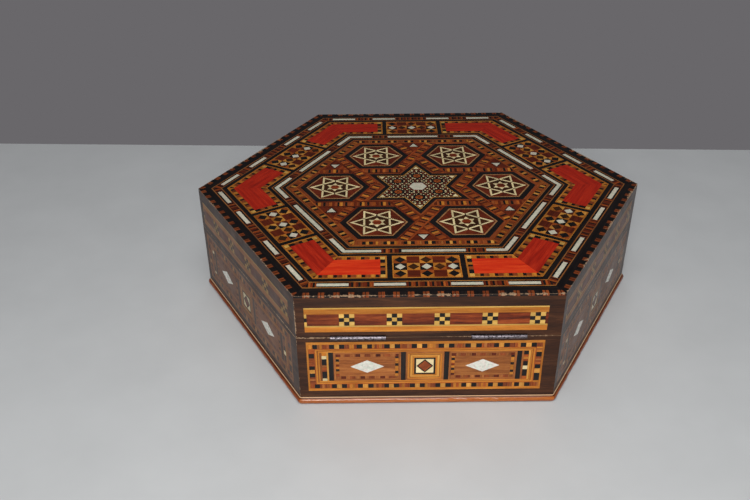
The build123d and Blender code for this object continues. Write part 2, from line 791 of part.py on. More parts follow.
add_carcass()
base_side = add_base_sides()
add_sliding_panel(base_side)
add_lid_sides()
add_bands()
add_pearl_rows()
add_panels()
add_medallions()
add_field()
add_lock()
add_drawer()
add_linings()
add_hinges()

os.makedirs("parts", exist_ok=True)
for name, solids in nodes.items():
    export_step(Compound(children=solids), os.path.join("parts", name + ".step"))
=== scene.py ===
"""Looks of a hexagonal marquetry box with a hinged lid, a sliding side panel and a key drawer.

Lengths are millimetres until a mesh is made. Every side is drawn as the one that faces -Y and is
turned into place. On a side face u runs to the right and v up; on top u runs along the side and v
from the centre outwards.
"""
import json
from itertools import chain, cycle
from math import asin, atan2, cos, hypot, pi, radians, sin, sqrt
from random import Random

import bmesh
import bpy
from mathutils import Matrix, Vector


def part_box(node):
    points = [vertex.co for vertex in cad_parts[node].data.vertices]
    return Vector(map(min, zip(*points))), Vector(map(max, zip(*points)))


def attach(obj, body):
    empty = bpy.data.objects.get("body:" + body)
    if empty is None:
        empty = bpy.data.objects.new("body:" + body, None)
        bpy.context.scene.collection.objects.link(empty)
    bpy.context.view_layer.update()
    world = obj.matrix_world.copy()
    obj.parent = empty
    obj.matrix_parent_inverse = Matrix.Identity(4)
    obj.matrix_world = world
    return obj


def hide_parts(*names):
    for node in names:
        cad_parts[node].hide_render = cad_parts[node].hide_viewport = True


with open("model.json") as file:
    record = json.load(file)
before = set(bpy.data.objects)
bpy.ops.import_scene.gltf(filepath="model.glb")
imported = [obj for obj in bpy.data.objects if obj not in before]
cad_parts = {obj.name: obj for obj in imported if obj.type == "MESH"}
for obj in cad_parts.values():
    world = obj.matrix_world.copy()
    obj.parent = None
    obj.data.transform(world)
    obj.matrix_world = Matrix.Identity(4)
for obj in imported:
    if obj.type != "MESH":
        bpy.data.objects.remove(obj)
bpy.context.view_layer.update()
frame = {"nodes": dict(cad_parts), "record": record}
MM = 0.001
COS30 = cos(radians(30))
HINGE_SIDE, LOCK_SIDE = 0, 3
JOINT = 0.035                    # each tessera is drawn in by this all round
SMALLEST_AREA = 0.02             # of a tessera; smaller scraps are left out
BODY_OF = {node: body for body, nodes in frame["record"]["behaviour"]["bodies"].items()
           for node in nodes}
SLOT_OF = {part["node"]: part["material_slot"] for part in frame["record"]["subparts"]}

# ---- Dimensions, as the part's source names them ----
pearl_r = 5.2
star_r = 26.5
star_border = 3.4
medallion_gap = 9.3
medallion_r = 20.5
medallion_frame = 3.1
medallion_line = 0.8
medallion_star_r = 14.0
star_line = 1.15
spark_side = 2.8
spark_orbit = 3.7
triangle_side = 5.2
field_margin = 2.0
field_mosaic = 4.9
light_line = 0.9
ebony_inner = 1.8
ebony_second = 2.0
ebony_third = 2.4
ebony_outer = 3.55
pearl_band_inner = 3.8
pearl_band_outer = 4.0
pearl_bar_outer = 15.6
outer_spacer = 12.2
outer_middle = 21.8
pearl_bar_inner = 33.2
inner_spacer = 10.5
lattice_columns = 5
lattice_rows = 3
lattice_pitch_x = 6.6
lattice_pitch_y = 6.4
lattice_edge = 0.7
lattice_bar = 2.6
lattice_pearl = 5.2
chevron_frame = 3.4
edge_mosaic = 2.95
post_w = 5.9
field_shift = -1.4
lower_border = 4.2
base_field_h = 31.2
upper_border = 2.6
frame_w = 6.5
block_column = 4.3
side_bar_w = 2.4
centre_half = 9.6
tile_side = 10.6
lozenge_w = 17.0
lozenge_h = 8.0
lid_lower_border = 3.4
light_band = 3.8
redwood_strip = 6.9
lid_upper_border = 5.8
check_block = 7.5
check_pitch = 23.1
check_end = 1.3
veneer = 1.2
wall = 6.5
false_floor = 2.5
top_board = 5.0
moulding_h = 4.0
seam = 0.2
lining = 1.2
lining_drop = 0.8
slide_fit = 0.15
floor_gap = 0.2

# ---- Dimensions that only the inlay shown here has ----
star_shown = 28.2                # the solid star is a little smaller, with the black round it
star_inset = 0.4                 # the pale edge of the star
star_node = 0.3                  # half the black where two bone strips cross
heart_line = 0.5
bar_shown = 2.3                  # the solids are 2.9 wide, with the black beside them
hinge_side_shift = 4.5           # the inner bars of the hinge side sit off its middle
pad_gap = 0.04                   # behind the velvet's cards, and at their mitres
pad_play = 0.1                   # between the hexagonal cards and the walls
pad_step = 4.0
PAD_RIMS = (0.0, 0.3, 0.9, 2.0)  # where the rows of points lie along a card's edge

# ---- Levels and apothems worked out from the above ----
medallion_orbit = (star_r + 2 * star_border) / sqrt(3) + medallion_gap + medallion_r
field_a = (medallion_orbit + medallion_r + field_margin) * COS30
a_field_mosaic = field_a + field_mosaic
a_line_1 = a_field_mosaic + light_line
a_ebony_1 = a_line_1 + ebony_inner
a_line_2 = a_ebony_1 + light_line
a_pearl_1 = a_line_2 + pearl_band_inner
a_line_3 = a_pearl_1 + light_line
a_ebony_2 = a_line_3 + ebony_second
a_panels = a_ebony_2 + lattice_rows * lattice_pitch_y + 2 * lattice_edge
a_ebony_3 = a_panels + ebony_third
a_line_4 = a_ebony_3 + light_line
a_pearl_2 = a_line_4 + pearl_band_outer
a_line_5 = a_pearl_2 + light_line
a_ebony_4 = a_line_5 + ebony_outer
outside = a_ebony_4 + edge_mosaic
wall_out = outside - veneer
wall_in = wall_out - wall
left = field_shift - (outside / sqrt(3) - post_w)
right = field_shift + (outside / sqrt(3) - post_w)
field_z = moulding_h + lower_border
field_top = field_z + base_field_h
rim = field_top + upper_border
lid_rim = rim + seam
strip_z = lid_rim + lid_lower_border + light_band
strip_top = strip_z + redwood_strip
veneer_z = strip_top + light_band + lid_upper_border
top = veneer_z + veneer
lid_ceiling = veneer_z - top_board
floor_z = field_z + false_floor
split_x = field_shift - centre_half - side_bar_w
strap_in = medallion_r * COS30
strap_out = (medallion_orbit - medallion_r) * COS30
star_edge = (star_r + 2 * star_border) / 2


# ---- Flat shapes ----
def polar(radius, angle):
    return radius * cos(radians(angle)), radius * sin(radians(angle))


def hexagon(radius, turn=0):
    return [polar(radius, 60 * k + turn) for k in range(6)]


def triangle(side, centre, turn):
    corners = [polar(side / sqrt(3), 120 * k + turn) for k in range(3)]
    return [(x + centre[0], y + centre[1]) for x, y in corners]


def rect(u0, u1, v0, v1):
    return [(u0, v0), (u1, v0), (u1, v1), (u0, v1)]


def centred(u, v, width, height):
    return rect(u - width / 2, u + width / 2, v - height / 2, v + height / 2)


def edges(outline):
    return zip(outline, outline[1:] + outline[:1])


def steps(stops, size):
    """Stops with even steps no longer than size between them."""
    found = [stops[0]]
    for start, end in zip(stops, stops[1:]):
        count = max(1, round((end - start) / size))
        found += [start + (end - start) * i / count for i in range(1, count + 1)]
    return found


def area(outline):
    return sum(u0 * v1 - u1 * v0 for (u0, v0), (u1, v1) in edges(outline)) / 2


def clip(outline, planes):
    """What is left of a convex outline where a u + b v <= c for each plane (a, b, c)."""
    for a, b, c in planes:
        kept = []
        for start, end in edges(outline):
            d0, d1 = (a * p[0] + b * p[1] - c for p in (start, end))
            if d0 <= 0:
                kept.append(start)
            if d0 * d1 < 0:
                t = d0 / (d0 - d1)
                kept.append(tuple(p + t * (q - p) for p, q in zip(start, end)))
        outline = kept
        if len(outline) < 3:
            return []
    return outline


def shrunk(outline, gap):
    """A convex outline drawn in by a gap all round."""
    if area(outline) < 0:
        outline = outline[::-1]
    planes = []
    for (u0, v0), (u1, v1) in edges(outline):
        length = hypot(u1 - u0, v1 - v0)
        if length > 1e-6:
            a, b = (v1 - v0) / length, (u0 - u1) / length
            planes.append((a, b, a * u0 + b * v0 - gap))
    return clip(outline, planes)


def ring(outer, inner):
    """The mitred pieces between two outlines with the same number of corners."""
    return [[p, q, s, r] for (p, q), (r, s) in zip(edges(outer), edges(inner))]


def quarters(u, v, width, height, inner_w, inner_h):
    """The four pieces of a rectangle round a diamond."""
    piece = [(u, v + inner_h / 2), (u + inner_w / 2, v), (u + width / 2, v),
             (u + width / 2, v + height / 2), (u, v + height / 2)]
    pieces = []
    for su, sv in ((1, 1), (-1, 1), (-1, -1), (1, -1)):
        pieces.append([(u + su * (pu - u), v + sv * (pv - v)) for pu, pv in piece])
    return pieces


def diamond(u, v, width, height):
    return [(u - width / 2, v), (u, v - height / 2), (u + width / 2, v), (u, v + height / 2)]


MITRES = [(1, -1 / sqrt(3), 0), (-1, -1 / sqrt(3), 0)]    # a side's share of the top


# ---- Where a side's own frame lies on the box ----
def side_turn(side):
    return Matrix.Rotation(radians(60 * side), 3, "Z")


def side_face(side):
    turn = side_turn(side)
    return lambda u, v, w: turn @ Vector((u, -(wall_out + w), v))


def top_face(side):
    turn = side_turn(side)
    return lambda u, v, w: turn @ Vector((u, -v, veneer_z + w))


# ---- Building meshes ----
def added(name, data):
    """A new object in the scene."""
    obj = bpy.data.objects.new(name, data)
    bpy.context.scene.collection.objects.link(obj)
    return obj


def replace_node(node, suffix, points, faces, materials, smooth=False, outward=False):
    """A mesh that stands for one CAD node, and rides on the node's body."""
    mesh = bpy.data.meshes.new(node + suffix)
    mesh.from_pydata(points, [], faces)
    if outward:
        turn_outward(mesh)
    for material in materials:
        mesh.materials.append(material)
    if smooth:
        mesh.shade_smooth()
        mesh.set_sharp_from_angle(angle=radians(35))
    obj = added(mesh.name, mesh)
    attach(obj, BODY_OF[node])
    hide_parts(node)
    return obj


def turn_outward(mesh):
    """Make every face of a closed mesh look away from its inside."""
    solid = bmesh.new()
    solid.from_mesh(mesh)
    bmesh.ops.recalc_face_normals(solid, faces=solid.faces)
    solid.to_mesh(mesh)
    solid.free()


def band(upper, lower):
    """The faces between two closed rows of points."""
    return [[a, c, d, b] for (a, b), (c, d) in zip(edges(upper), edges(lower))]


class Marquetry:
    """The tesserae that stand for one CAD node, each a little solid of its own."""

    def __init__(self, node):
        self.node = node
        self.dice = Random(node)
        self.points, self.faces, self.woods, self.grain, self.tint = [], [], [], [], []

    def lay(self, place, outline, wood, angle, joint, twin):
        """One tessera; a twin goes on with the grain and tint of the one before."""
        outline = shrunk(outline, joint)
        if len(outline) < 3 or abs(area(outline)) < SMALLEST_AREA:
            return
        if not twin:
            self.origin = [self.dice.uniform(0, 400) for _ in range(3)]
            self.shade = self.dice.random()
        start, count = len(self.points), len(outline)
        c, s = cos(radians(angle)), sin(radians(angle))
        for w in (0, veneer):
            for u, v in outline:
                self.points.append(place(u, v, w) * MM)
                along = (c * u + s * v, c * v - s * u, w)
                self.grain.append([a + b for a, b in zip(along, self.origin)])
        bottom = list(range(start, start + count))
        roof = list(range(start + count, start + 2 * count))
        faces = [bottom[::-1], roof]
        faces += [[a, b, d, c] for (a, b), (c, d) in zip(edges(bottom), edges(roof))]
        a, b, d = (self.points[i] for i in roof[:3])
        outward = place(0, 0, 1) - place(0, 0, 0)
        if (b - a).cross(d - a).dot(outward) < 0:
            faces = [face[::-1] for face in faces]
        self.faces += faces
        self.woods += [wood] * len(faces)
        self.tint += [self.shade] * (2 * count)

    def build(self):
        """The mesh, with a material for each wood and the grain and tint of each tessera."""
        names = sorted(set(self.woods))
        obj = replace_node(self.node, "_tiles", self.points, self.faces,
                           [tiles[name] for name in names])
        mesh = obj.data
        mesh.polygons.foreach_set("material_index", [names.index(wood) for wood in self.woods])
        grain = mesh.attributes.new("grain", "FLOAT_VECTOR", "POINT")
        grain.data.foreach_set("vector", [value for point in self.grain for value in point])
        mesh.attributes.new("tint", "FLOAT", "POINT").data.foreach_set("value", self.tint)


work = {}


def node_work(node):
    """The tesserae of a node, started when they are first asked for."""
    if node not in work:
        work[node] = Marquetry(node)
    return work[node]


class Face:
    """A face of the box, and the nodes that share what is laid on it by their clip planes."""

    def __init__(self, place, node, planes=()):
        self.place = place
        self.shares = [(node_work(node), planes)]

    def lay(self, outline, wood, angle=0.0, joint=JOINT, twin=False):
        for piece, planes in self.shares:
            share = clip(outline, planes)
            if share:
                piece.lay(self.place, share, wood, angle, joint, twin)

    def lay_all(self, outlines, wood, **how):
        for outline in outlines:
            self.lay(outline, wood, **how)

    def frame(self, outer, inner, wood):
        """Mitred strips between two rectangles, with the grain along each."""
        for index, strip in enumerate(ring(outer, inner)):
            self.lay(strip, wood, 90 * (index % 2))

    def nest(self, outer, inner, stages):
        """Frames inside each other; a stage is the share of the way in where it starts."""
        outlines = [[tuple(p + (q - p) * share for p, q in zip(*corners))
                     for corners in zip(outer, inner)] for share, _ in stages] + [inner]
        for (_, name), around, within_it in zip(stages, outlines, outlines[1:]):
            self.frame(around, within_it, name)

    def line(self, u0, u1, v0, v1, wood, planes=()):
        """A strip with its grain along u."""
        self.lay(clip(rect(u0, u1, v0, v1), planes), wood)

    def row(self, u0, u1, v0, v1, pattern, planes=(), across=False, start=(), prefix=""):
        """Tesserae side by side from u0 to u1, or up from v0 to v1 where across is set."""
        for piece, own in self.shares:
            span = (v0, v1) if across else (u0, u1)
            for name, low, high in tesserae(piece.dice, *span, pattern, start):
                outline = rect(u0, u1, low, high) if across else rect(low, high, v0, v1)
                outline = clip(outline, [*own, *planes])
                if outline:
                    piece.lay(self.place, outline, prefix + name, 0 if across else 90,
                              JOINT, False)


def tesserae(dice, low, high, pattern, start=()):
    """The wood, start and end of each tessera in a row. A pattern lists (wood, length) and comes
    again and again after the start's own pieces; the wood "slivers" is a bundle of thin strips."""
    shortest, sliver_w = 0.4, 1.25
    coming = chain(start, cycle(pattern))
    while low < high - shortest / 2:
        kind, length = next(coming)
        length *= dice.uniform(0.93, 1.07)
        stop = high if low + length > high - shortest else low + length
        names = [kind]
        if kind == "slivers":
            count = max(1, round((stop - low) / sliver_w))
            names = [dice.choice(SLIVERS) for _ in range(count)]
        width = (stop - low) / len(names)
        for index, name in enumerate(names):
            yield name, low + index * width, low + (index + 1) * width
        low = stop


# ---- Materials ----
def colour(red, green, blue):
    return tuple(((c / 255 + 0.055) / 1.055) ** 2.4 for c in (red, green, blue)) + (1,)


def colours(*shades):
    return [colour(*shade) for shade in shades]


class Graph:
    """A material, built by naming what each node's inputs are fed with."""

    def __init__(self, name):
        self.material = bpy.data.materials.new(name)
        self.material.use_nodes = True
        self.tree = self.material.node_tree
        self.shader = self.tree.nodes["Principled BSDF"]

    def node(self, kind, inputs=None, **settings):
        made = self.tree.nodes.new("ShaderNode" + kind)
        for name, value in settings.items():
            setattr(made, name, value)
        for socket, value in (inputs or {}).items():
            self.feed(made.inputs[socket], value)
        return made

    def feed(self, socket, value):
        if isinstance(value, bpy.types.NodeSocket):
            self.tree.links.new(value, socket)
        else:
            socket.default_value = value

    def surface(self, **inputs):
        for name, value in inputs.items():
            self.feed(self.shader.inputs[name.replace("_", " ")], value)

    def math(self, operation, first, second=0.0, third=0.0):
        made = self.node("Math", {0: first, 1: second, 2: third}, operation=operation)
        return made.outputs[0]

    def add(self, first, second):
        return self.math("ADD", first, second)

    def times(self, first, second):
        return self.math("MULTIPLY", first, second)

    def gap(self, first, second):
        return self.math("ABSOLUTE", self.math("SUBTRACT", first, second))

    def blend(self, first, share, second):
        """A share of the first value, and the rest of the second."""
        return self.add(self.times(first, share), self.times(second, 1 - share))

    def parts(self, vector):
        return self.node("SeparateXYZ", {0: vector}).outputs

    def moved(self, vector, amount):
        """A vector with the same amount added to each part."""
        offset = self.node("CombineXYZ", {0: amount, 1: amount, 2: amount}).outputs[0]
        return self.node("VectorMath", {0: vector, 1: offset}, operation="ADD").outputs[0]

    def lit(self, base, level):
        """A colour multiplied by a level."""
        grey = self.node("CombineColor", {0: level, 1: level, 2: level}).outputs[0]
        return self.mix(1.0, base, grey, "MULTIPLY")

    def stretch(self, vector, x, y, z):
        return self.node("VectorMath", {0: vector, 1: (x, y, z)},
                         operation="MULTIPLY").outputs[0]

    def noise(self, vector, scale, detail=2.0, rough=0.5, distortion=0.0):
        """Noise of one scale, or of one for each axis."""
        if isinstance(scale, tuple):
            vector, scale = self.stretch(vector, *scale), 1.0
        inputs = {"Vector": vector, "Scale": scale, "Detail": detail, "Roughness": rough,
                  "Distortion": distortion}
        return self.node("TexNoise", inputs).outputs["Fac"]

    def ramp(self, factor, shades, stops=(0.35, 0.5, 0.65)):
        made = self.node("ValToRGB", {"Fac": factor})
        elements = made.color_ramp.elements
        while len(elements) < len(shades):
            elements.new(0.5)
        for element, position, shade in zip(elements, stops, shades):
            element.position = position
            element.color = shade
        return made.outputs["Color"]

    def span(self, value, low, high, to_low=0.0, to_high=1.0):
        inputs = {"Value": value, "From Min": low, "From Max": high, "To Min": to_low,
                  "To Max": to_high}
        return self.node("MapRange", inputs).outputs["Result"]

    def mix(self, factor, first, second, blend="MIX"):
        return self.node("Mix", {0: factor, 6: first, 7: second}, data_type="RGBA",
                         blend_type=blend).outputs[2]

    def bump(self, height, strength, distance):
        inputs = {"Height": height, "Strength": strength, "Distance": distance}
        return self.node("Bump", inputs).outputs["Normal"]

    def place(self):
        """The point in the object's own frame, in millimetres."""
        spot = self.node("TexCoord").outputs["Object"]
        return self.stretch(spot, 1000, 1000, 1000)

    def side_frame(self):
        """The same point turned to the hinge side: along the side, -apothem and height."""
        spot = self.place()
        parts = self.parts(spot)
        angle = self.math("ARCTAN2", parts["Y"], parts["X"])
        sector = self.math("ROUND", self.math("MULTIPLY_ADD", angle, 3 / pi, 1.5))
        back = self.times(sector, -pi / 3)
        turn = self.node("VectorRotate", {"Vector": spot, "Angle": back}, rotation_type="Z_AXIS")
        return turn.outputs["Vector"], sector

    def varnished(self, coat, **inputs):
        """The surface under brushed varnish: slow waves and a little dust."""
        spot = self.place()
        waves = self.noise(spot, 0.16, 2, 0.5)
        dust = self.span(self.noise(spot, 2.4, 1, 0.5), 0.66, 0.74)
        height = self.add(waves, self.times(dust, 0.12))
        inputs = {"Coat_Roughness": 0.12, "IOR": 1.5, "Specular_IOR_Level": 0.12, **inputs}
        self.surface(Coat_Weight=coat, Coat_Normal=self.bump(height, 0.32, 0.0004), **inputs)


# Painted light on the moulding: a painted shadow in the quirk's groove, a pale top line that is
# partly wear and partly painted highlight, and painted shade at the foot.
PAINTED_MOULDING_LINES = [(3.42, 0.2, colour(46, 22, 14)), (3.9, 0.16, colour(226, 190, 150)),
               (0.3, 0.5, colour(80, 38, 20))]    # height, half width and tone of each line painted on the moulding


def wood(name, shades, tile, contrast=1.0, coarse=1.0, rough=(0.32, 0.5), coat=0.24, worn=0.0,
         up=False, tint=(0.8, 1.22), reflection_veil=0.55, painted_lines=False):
    """Varnished wood with its figure and fibres drawn out along the grain. A tile takes grain and
    tint from its mesh. Worn is the wear of its arrises, with a painted highlight along them; the
    veil share is a grey painted reflection on the upright sides off the hinge side, and the
    moulding's lines are painted highlight and shade. Beyond the field, off the hinge side, the
    wood is darkened as painted shade."""
    g = Graph(name + ("_tile" if tile else ""))
    flat, sector = g.side_frame()
    if tile:
        grain = g.node("Attribute", attribute_name="grain").outputs["Vector"]
        shade = g.node("Attribute", attribute_name="tint").outputs["Fac"]
    else:
        upright = {"Vector": flat, "Angle": pi / 2}
        grain = g.node("VectorRotate", upright, rotation_type="Y_AXIS").outputs[0] if up else flat
        grain = g.moved(grain, g.times(sector, 37.7))
        shade = g.noise(grain, (0.015, 0.06, 0.06), 1)
    figure = g.noise(grain, (0.035 * coarse, 0.5 * coarse, 0.5 * coarse), 4, 0.55, 0.6)
    fibre = g.noise(grain, (0.22, 5.0, 5.0), 3, 0.6)
    pores = g.span(g.noise(grain, (0.5, 9.0, 9.0), 1), 0.62, 0.7)
    spread = g.span(g.blend(figure, 0.62, fibre), 0.5 - 0.2 / contrast, 0.5 + 0.2 / contrast)
    base = g.ramp(spread, shades, (0.0, 0.5, 1.0))
    base = g.mix(g.times(pores, 0.35), base, colour(30, 16, 10))
    # painted shade off the hinge side, together with the random tone of each piece
    base = g.lit(base, g.times(g.span(shade, 0.0, 1.0, *tint), painted_side_shade(g, flat, sector)))
    # painted reflection: a grey veil over the upright sides off the hinge side
    if reflection_veil:
        base = g.mix(g.times(painted_reflection_veil(g, flat, sector), reflection_veil), base, colour(80, 60, 50))
    if worn:
        # wear of the arrises, with a painted highlight along the top's edge and the rims
        base = g.mix(wear_and_highlight_mask(g, flat, worn), base, colour(170, 140, 110))
    if painted_lines:
        # painted highlight and shade lines on the moulding
        height = g.parts(flat)["Z"]
        for middle, half, tone in PAINTED_MOULDING_LINES:
            edge = g.span(g.gap(height, middle), half, half + 0.12, 0.8, 0.0)
            base = g.mix(edge, base, tone)
    smear = g.noise(g.place(), 0.09, 3, 0.6)
    g.varnished(coat, Base_Color=base, Roughness=g.span(smear, 0.3, 0.7, *rough),
                Normal=g.bump(fibre, 0.25, 0.00004))
    return g.material


def off_hinge_side(g, sector):
    return g.math("GREATER_THAN", g.math("ABSOLUTE", sector), 0.5)


def painted_side_shade(g, flat, sector):
    """Painted shade: beyond the field, every side but the hinge side is darkened, standing in for
    grain that lies aslant to the room and looks darker.
    """
    rim_zone = g.math("LESS_THAN", g.parts(flat)["Y"], -field_a)
    zone = g.times(rim_zone, off_hinge_side(g, sector))
    return g.math("MULTIPLY_ADD", zone, -0.22, 1.0)


def painted_reflection_veil(g, flat, sector):
    """A grey veil of painted reflection on the upright sides, but not on the hinge side."""
    low = g.math("LESS_THAN", g.parts(flat)["Z"], top - 0.15)
    return g.times(low, off_hinge_side(g, sector))


def wear_and_highlight_mask(g, flat, amount):
    """Where the arrises are rubbed through: the top's edge, the rims and the upright corners. The
    thin pale line that always runs along the top's edge and the rims is a painted highlight.
    """
    parts = g.parts(flat)
    apothem, height = g.times(parts["Y"], -1.0), parts["Z"]
    beyond_edge = g.math("SUBTRACT", outside, apothem)
    arris = g.add(beyond_edge, g.gap(height, top))
    # the offset keeps a thin pale line on the rims without any chips: a painted highlight on the seam
    rims = g.math("MULTIPLY_ADD", g.gap(height, rim + seam / 2), 2.5, -0.2)
    along = g.math("ABSOLUTE", parts["X"])
    post = g.math("SUBTRACT", outside / sqrt(3) + 0.2, along)
    post = g.add(g.times(post, 1.8), g.times(beyond_edge, 3.0))
    near = g.math("MINIMUM", arris, g.math("MINIMUM", rims, post))
    spot = g.place()
    chips = g.noise(spot, 0.55, 3, 0.65)
    patch = g.noise(spot, 0.05, 2, 0.5)
    widest = 2.4
    reach = g.times(g.span(g.times(chips, patch), 0.26, 0.4), widest * amount)
    return g.span(g.math("SUBTRACT", near, reach), 0.0, 0.16, 0.85, 0.0)


def shell(name, shades, tile):
    """Mother-of-pearl: cloudy bands with a faint pink and green play."""
    g = Graph(name + ("_tile" if tile else ""))
    spot = g.place()
    if tile:
        shade = g.node("Attribute", attribute_name="tint").outputs["Fac"]
    else:
        shade = g.noise(spot, 0.03, 1)
    cloud = g.noise(spot, (0.35, 0.55, 0.5), 3, 0.6, 1.4)
    base = g.ramp(cloud, shades, (0.3, 0.5, 0.7))
    play = g.noise(spot, (0.2, 0.3, 0.25), 2, 0.5, 2.0)
    sheen = colours((255, 226, 226), (250, 250, 246), (222, 250, 236))
    base = g.mix(0.4, base, g.ramp(play, sheen), "MULTIPLY")
    g.varnished(0.3, Base_Color=g.lit(base, g.span(shade, 0.0, 1.0, 0.9, 1.08)),
                Roughness=g.span(cloud, 0.3, 0.7, 0.22, 0.38), Normal=g.bump(cloud, 0.15, 0.0001),
                Coat_Roughness=0.1, IOR=1.55, Specular_IOR_Level=0.4)
    return g.material


def metal(name, tone, dark, rough, patch=0.35):
    """Brushed metal with dark tarnish in patches."""
    g = Graph(name)
    spot = g.place()
    lines = g.noise(spot, (0.4, 6.0, 6.0), 3, 0.6)
    stain = g.noise(spot, patch, 3, 0.6)
    g.surface(Base_Color=g.mix(g.span(stain, 0.45, 0.66), tone, dark), Metallic=1.0,
              Normal=g.bump(lines, 0.2, 0.00005),
              Roughness=g.span(g.add(lines, stain), 0.6, 1.4, *rough))
    return g.material


def raw_wood():
    """Planed carcass wood, dry and pale, with its growth rings."""
    g = Graph("planed_wood")
    flat, _ = g.side_frame()
    rings = g.node("TexWave", {"Vector": g.stretch(flat, 0.02, 0.25, 0.25), "Scale": 1.0,
                               "Distortion": 6.0, "Detail": 3.0, "Detail Scale": 0.6},
                   wave_type="BANDS", bands_direction="Z").outputs["Fac"]
    fibre = g.noise(flat, (0.12, 3.0, 3.0), 3, 0.6)
    tones = colours((120, 78, 44), (168, 120, 74), (196, 152, 104))
    g.surface(Base_Color=g.ramp(g.blend(rings, 0.55, fibre), tones, (0.15, 0.55, 0.9)),
              Roughness=g.span(fibre, 0.3, 0.7, 0.5, 0.7), Normal=g.bump(fibre, 0.4, 0.0001))
    return g.material


def velvet():
    """Short dense pile, lighter at a glancing angle and brushed into patches."""
    g = Graph("red_velvet")
    spot = g.place()
    pile = g.noise(spot, 5.0, 2, 0.7)
    nap = g.noise(spot, (0.03, 0.05, 0.04), 3, 0.55, 0.5)
    tones = colours((70, 8, 14), (104, 14, 22), (142, 26, 34))
    g.surface(Base_Color=g.ramp(g.blend(nap, 0.7, pile), tones),
              Roughness=g.span(pile, 0.3, 0.7, 0.8, 0.95), Sheen_Weight=0.6,
              Sheen_Roughness=0.35, Sheen_Tint=colour(226, 120, 120),
              Normal=g.bump(pile, 0.6, 0.00025))
    return g.material


EBONY = colours((10, 8, 9), (22, 18, 18), (40, 32, 28))
ORANGE = colours((142, 80, 22), (187, 114, 38), (215, 147, 62))
RUST = colours((104, 42, 14), (156, 74, 26), (188, 104, 42))
AMBER = colours((178, 112, 40), (208, 144, 62), (228, 174, 92))
YELLOW = colours((188, 136, 58), (214, 168, 84), (232, 196, 118))
BROWN = colours((104, 54, 22), (150, 86, 40), (186, 118, 60))
REDBROWN = colours((84, 34, 14), (132, 62, 28), (166, 90, 42))
ROSEWOOD = colours((50, 16, 8), (114, 42, 14), (164, 78, 32))
DARK_RED = colours((56, 18, 8), (92, 32, 12), (124, 48, 20))
UMBER = colours((30, 16, 6), (58, 30, 10), (86, 48, 20))
WALNUT = colours((30, 15, 8), (58, 31, 16), (90, 54, 30))
BONE = colours((204, 182, 128), (227, 207, 156), (240, 224, 182))
PEARL = colours((192, 187, 168), (210, 204, 184), (225, 218, 199))
WHITE_PEARL = colours((206, 204, 194), (223, 221, 211), (238, 235, 226))
RED = colours((130, 22, 8), (166, 32, 13), (194, 50, 22))
# a brighter copy of the red for the hinge side: painted light
PAINTED_LIT_RED = colours((184, 36, 12), (216, 50, 18), (234, 82, 34))
MOULDING = colours((114, 50, 16), (168, 88, 30), (202, 126, 56))
# a darker copy of the moulding for every side but the hinge side: painted shade
PAINTED_SHADE_MOULDING = colours((92, 36, 16), (144, 66, 28), (180, 98, 46))

tiles = {
    "black": wood("ebony", EBONY, True),
    "orange": wood("orange_wood", ORANGE, True, contrast=0.9),
    "yellow": wood("lemon_wood", YELLOW, True, contrast=0.8),
    "amber": wood("amber_wood", AMBER, True, contrast=0.8),
    "rust": wood("rust_wood", RUST, True),
    "brown": wood("walnut", BROWN, True, contrast=1.2),
    "redbrown": wood("cherry", REDBROWN, True),
    "rosewood": wood("rosewood", ROSEWOOD, True, contrast=1.5, coarse=0.8, tint=(0.7, 1.3)),
    "darkred": wood("stained_wood", DARK_RED, True),
    "umber": wood("umber_wood", UMBER, True),
    "bone": wood("bone", BONE, True, contrast=0.7, coat=0.7, rough=(0.25, 0.4), reflection_veil=0.1),
    "pearl": shell("pearl", PEARL, True),
    "edge_black": wood("ebony_edge", EBONY, True, worn=0.5),
    "edge_redbrown": wood("cherry_edge", REDBROWN, True, worn=0.7),
}
SLIVERS = ("orange", "redbrown", "rust", "brown", "redbrown")


# ---- Sides of the base ----
PANEL_CLIP = [(-1, 0, -split_x - slide_fit), (0, -1, -field_z - slide_fit),
              (0, 1, field_top - slide_fit)]


def base_face(number, kind):
    """A face of the base. On the lock side the fixed wall shares it with the sliding panel."""
    if number != LOCK_SIDE:
        return Face(side_face(number), "base_" + kind)
    face = Face(side_face(number), "base_" + kind, [(1, 0, split_x)])
    face.shares.append((node_work("panel_" + kind), PANEL_CLIP))
    return face


TOP_ROW = [("slivers", 5.7), ("black", 2.6), ("amber", 2.5), ("black", 2.6)]
LEFT_COLUMN = [("slivers", 4.4), ("black", 2.6), ("amber", 2.5), ("black", 2.4), ("slivers", 5.2),
               ("black", 3.0), ("rust", 2.6)]
RIGHT_COLUMN = [("orange", 1.2), ("black", 5.0), ("amber", 2.8), ("black", 2.6), ("slivers", 5.4),
                ("black", 2.8), ("slivers", 2.6)]
LEFT_BLOCKS = [("bone", 1.5), ("black", 4.2), ("slivers", 4.4), ("black", 4.1), ("bone", 1.9),
               ("orange", 2.0)]
RIGHT_BLOCKS = [("slivers", 1.8), ("black", 4.3), ("bone", 2.4), ("black", 3.0), ("slivers", 4.2),
                ("black", 2.4)]
INNER_DASHES = [("brown", 2.6), ("darkred", 2.4), ("brown", 2.0), ("redbrown", 2.8)]
INNER_BLOCKS = [("rosewood", 1.6), ("orange", 1.7), ("black", 1.6), ("orange", 1.5)]
FRAME_NEST = [(0.0, "rust"), (0.18, "orange"), (0.54, "redbrown"), (0.64, "orange")]
MOUNT_NEST = [(0.0, "brown"), (0.2, "orange"), (0.46, "brown"), (0.54, "amber"), (0.8, "orange")]


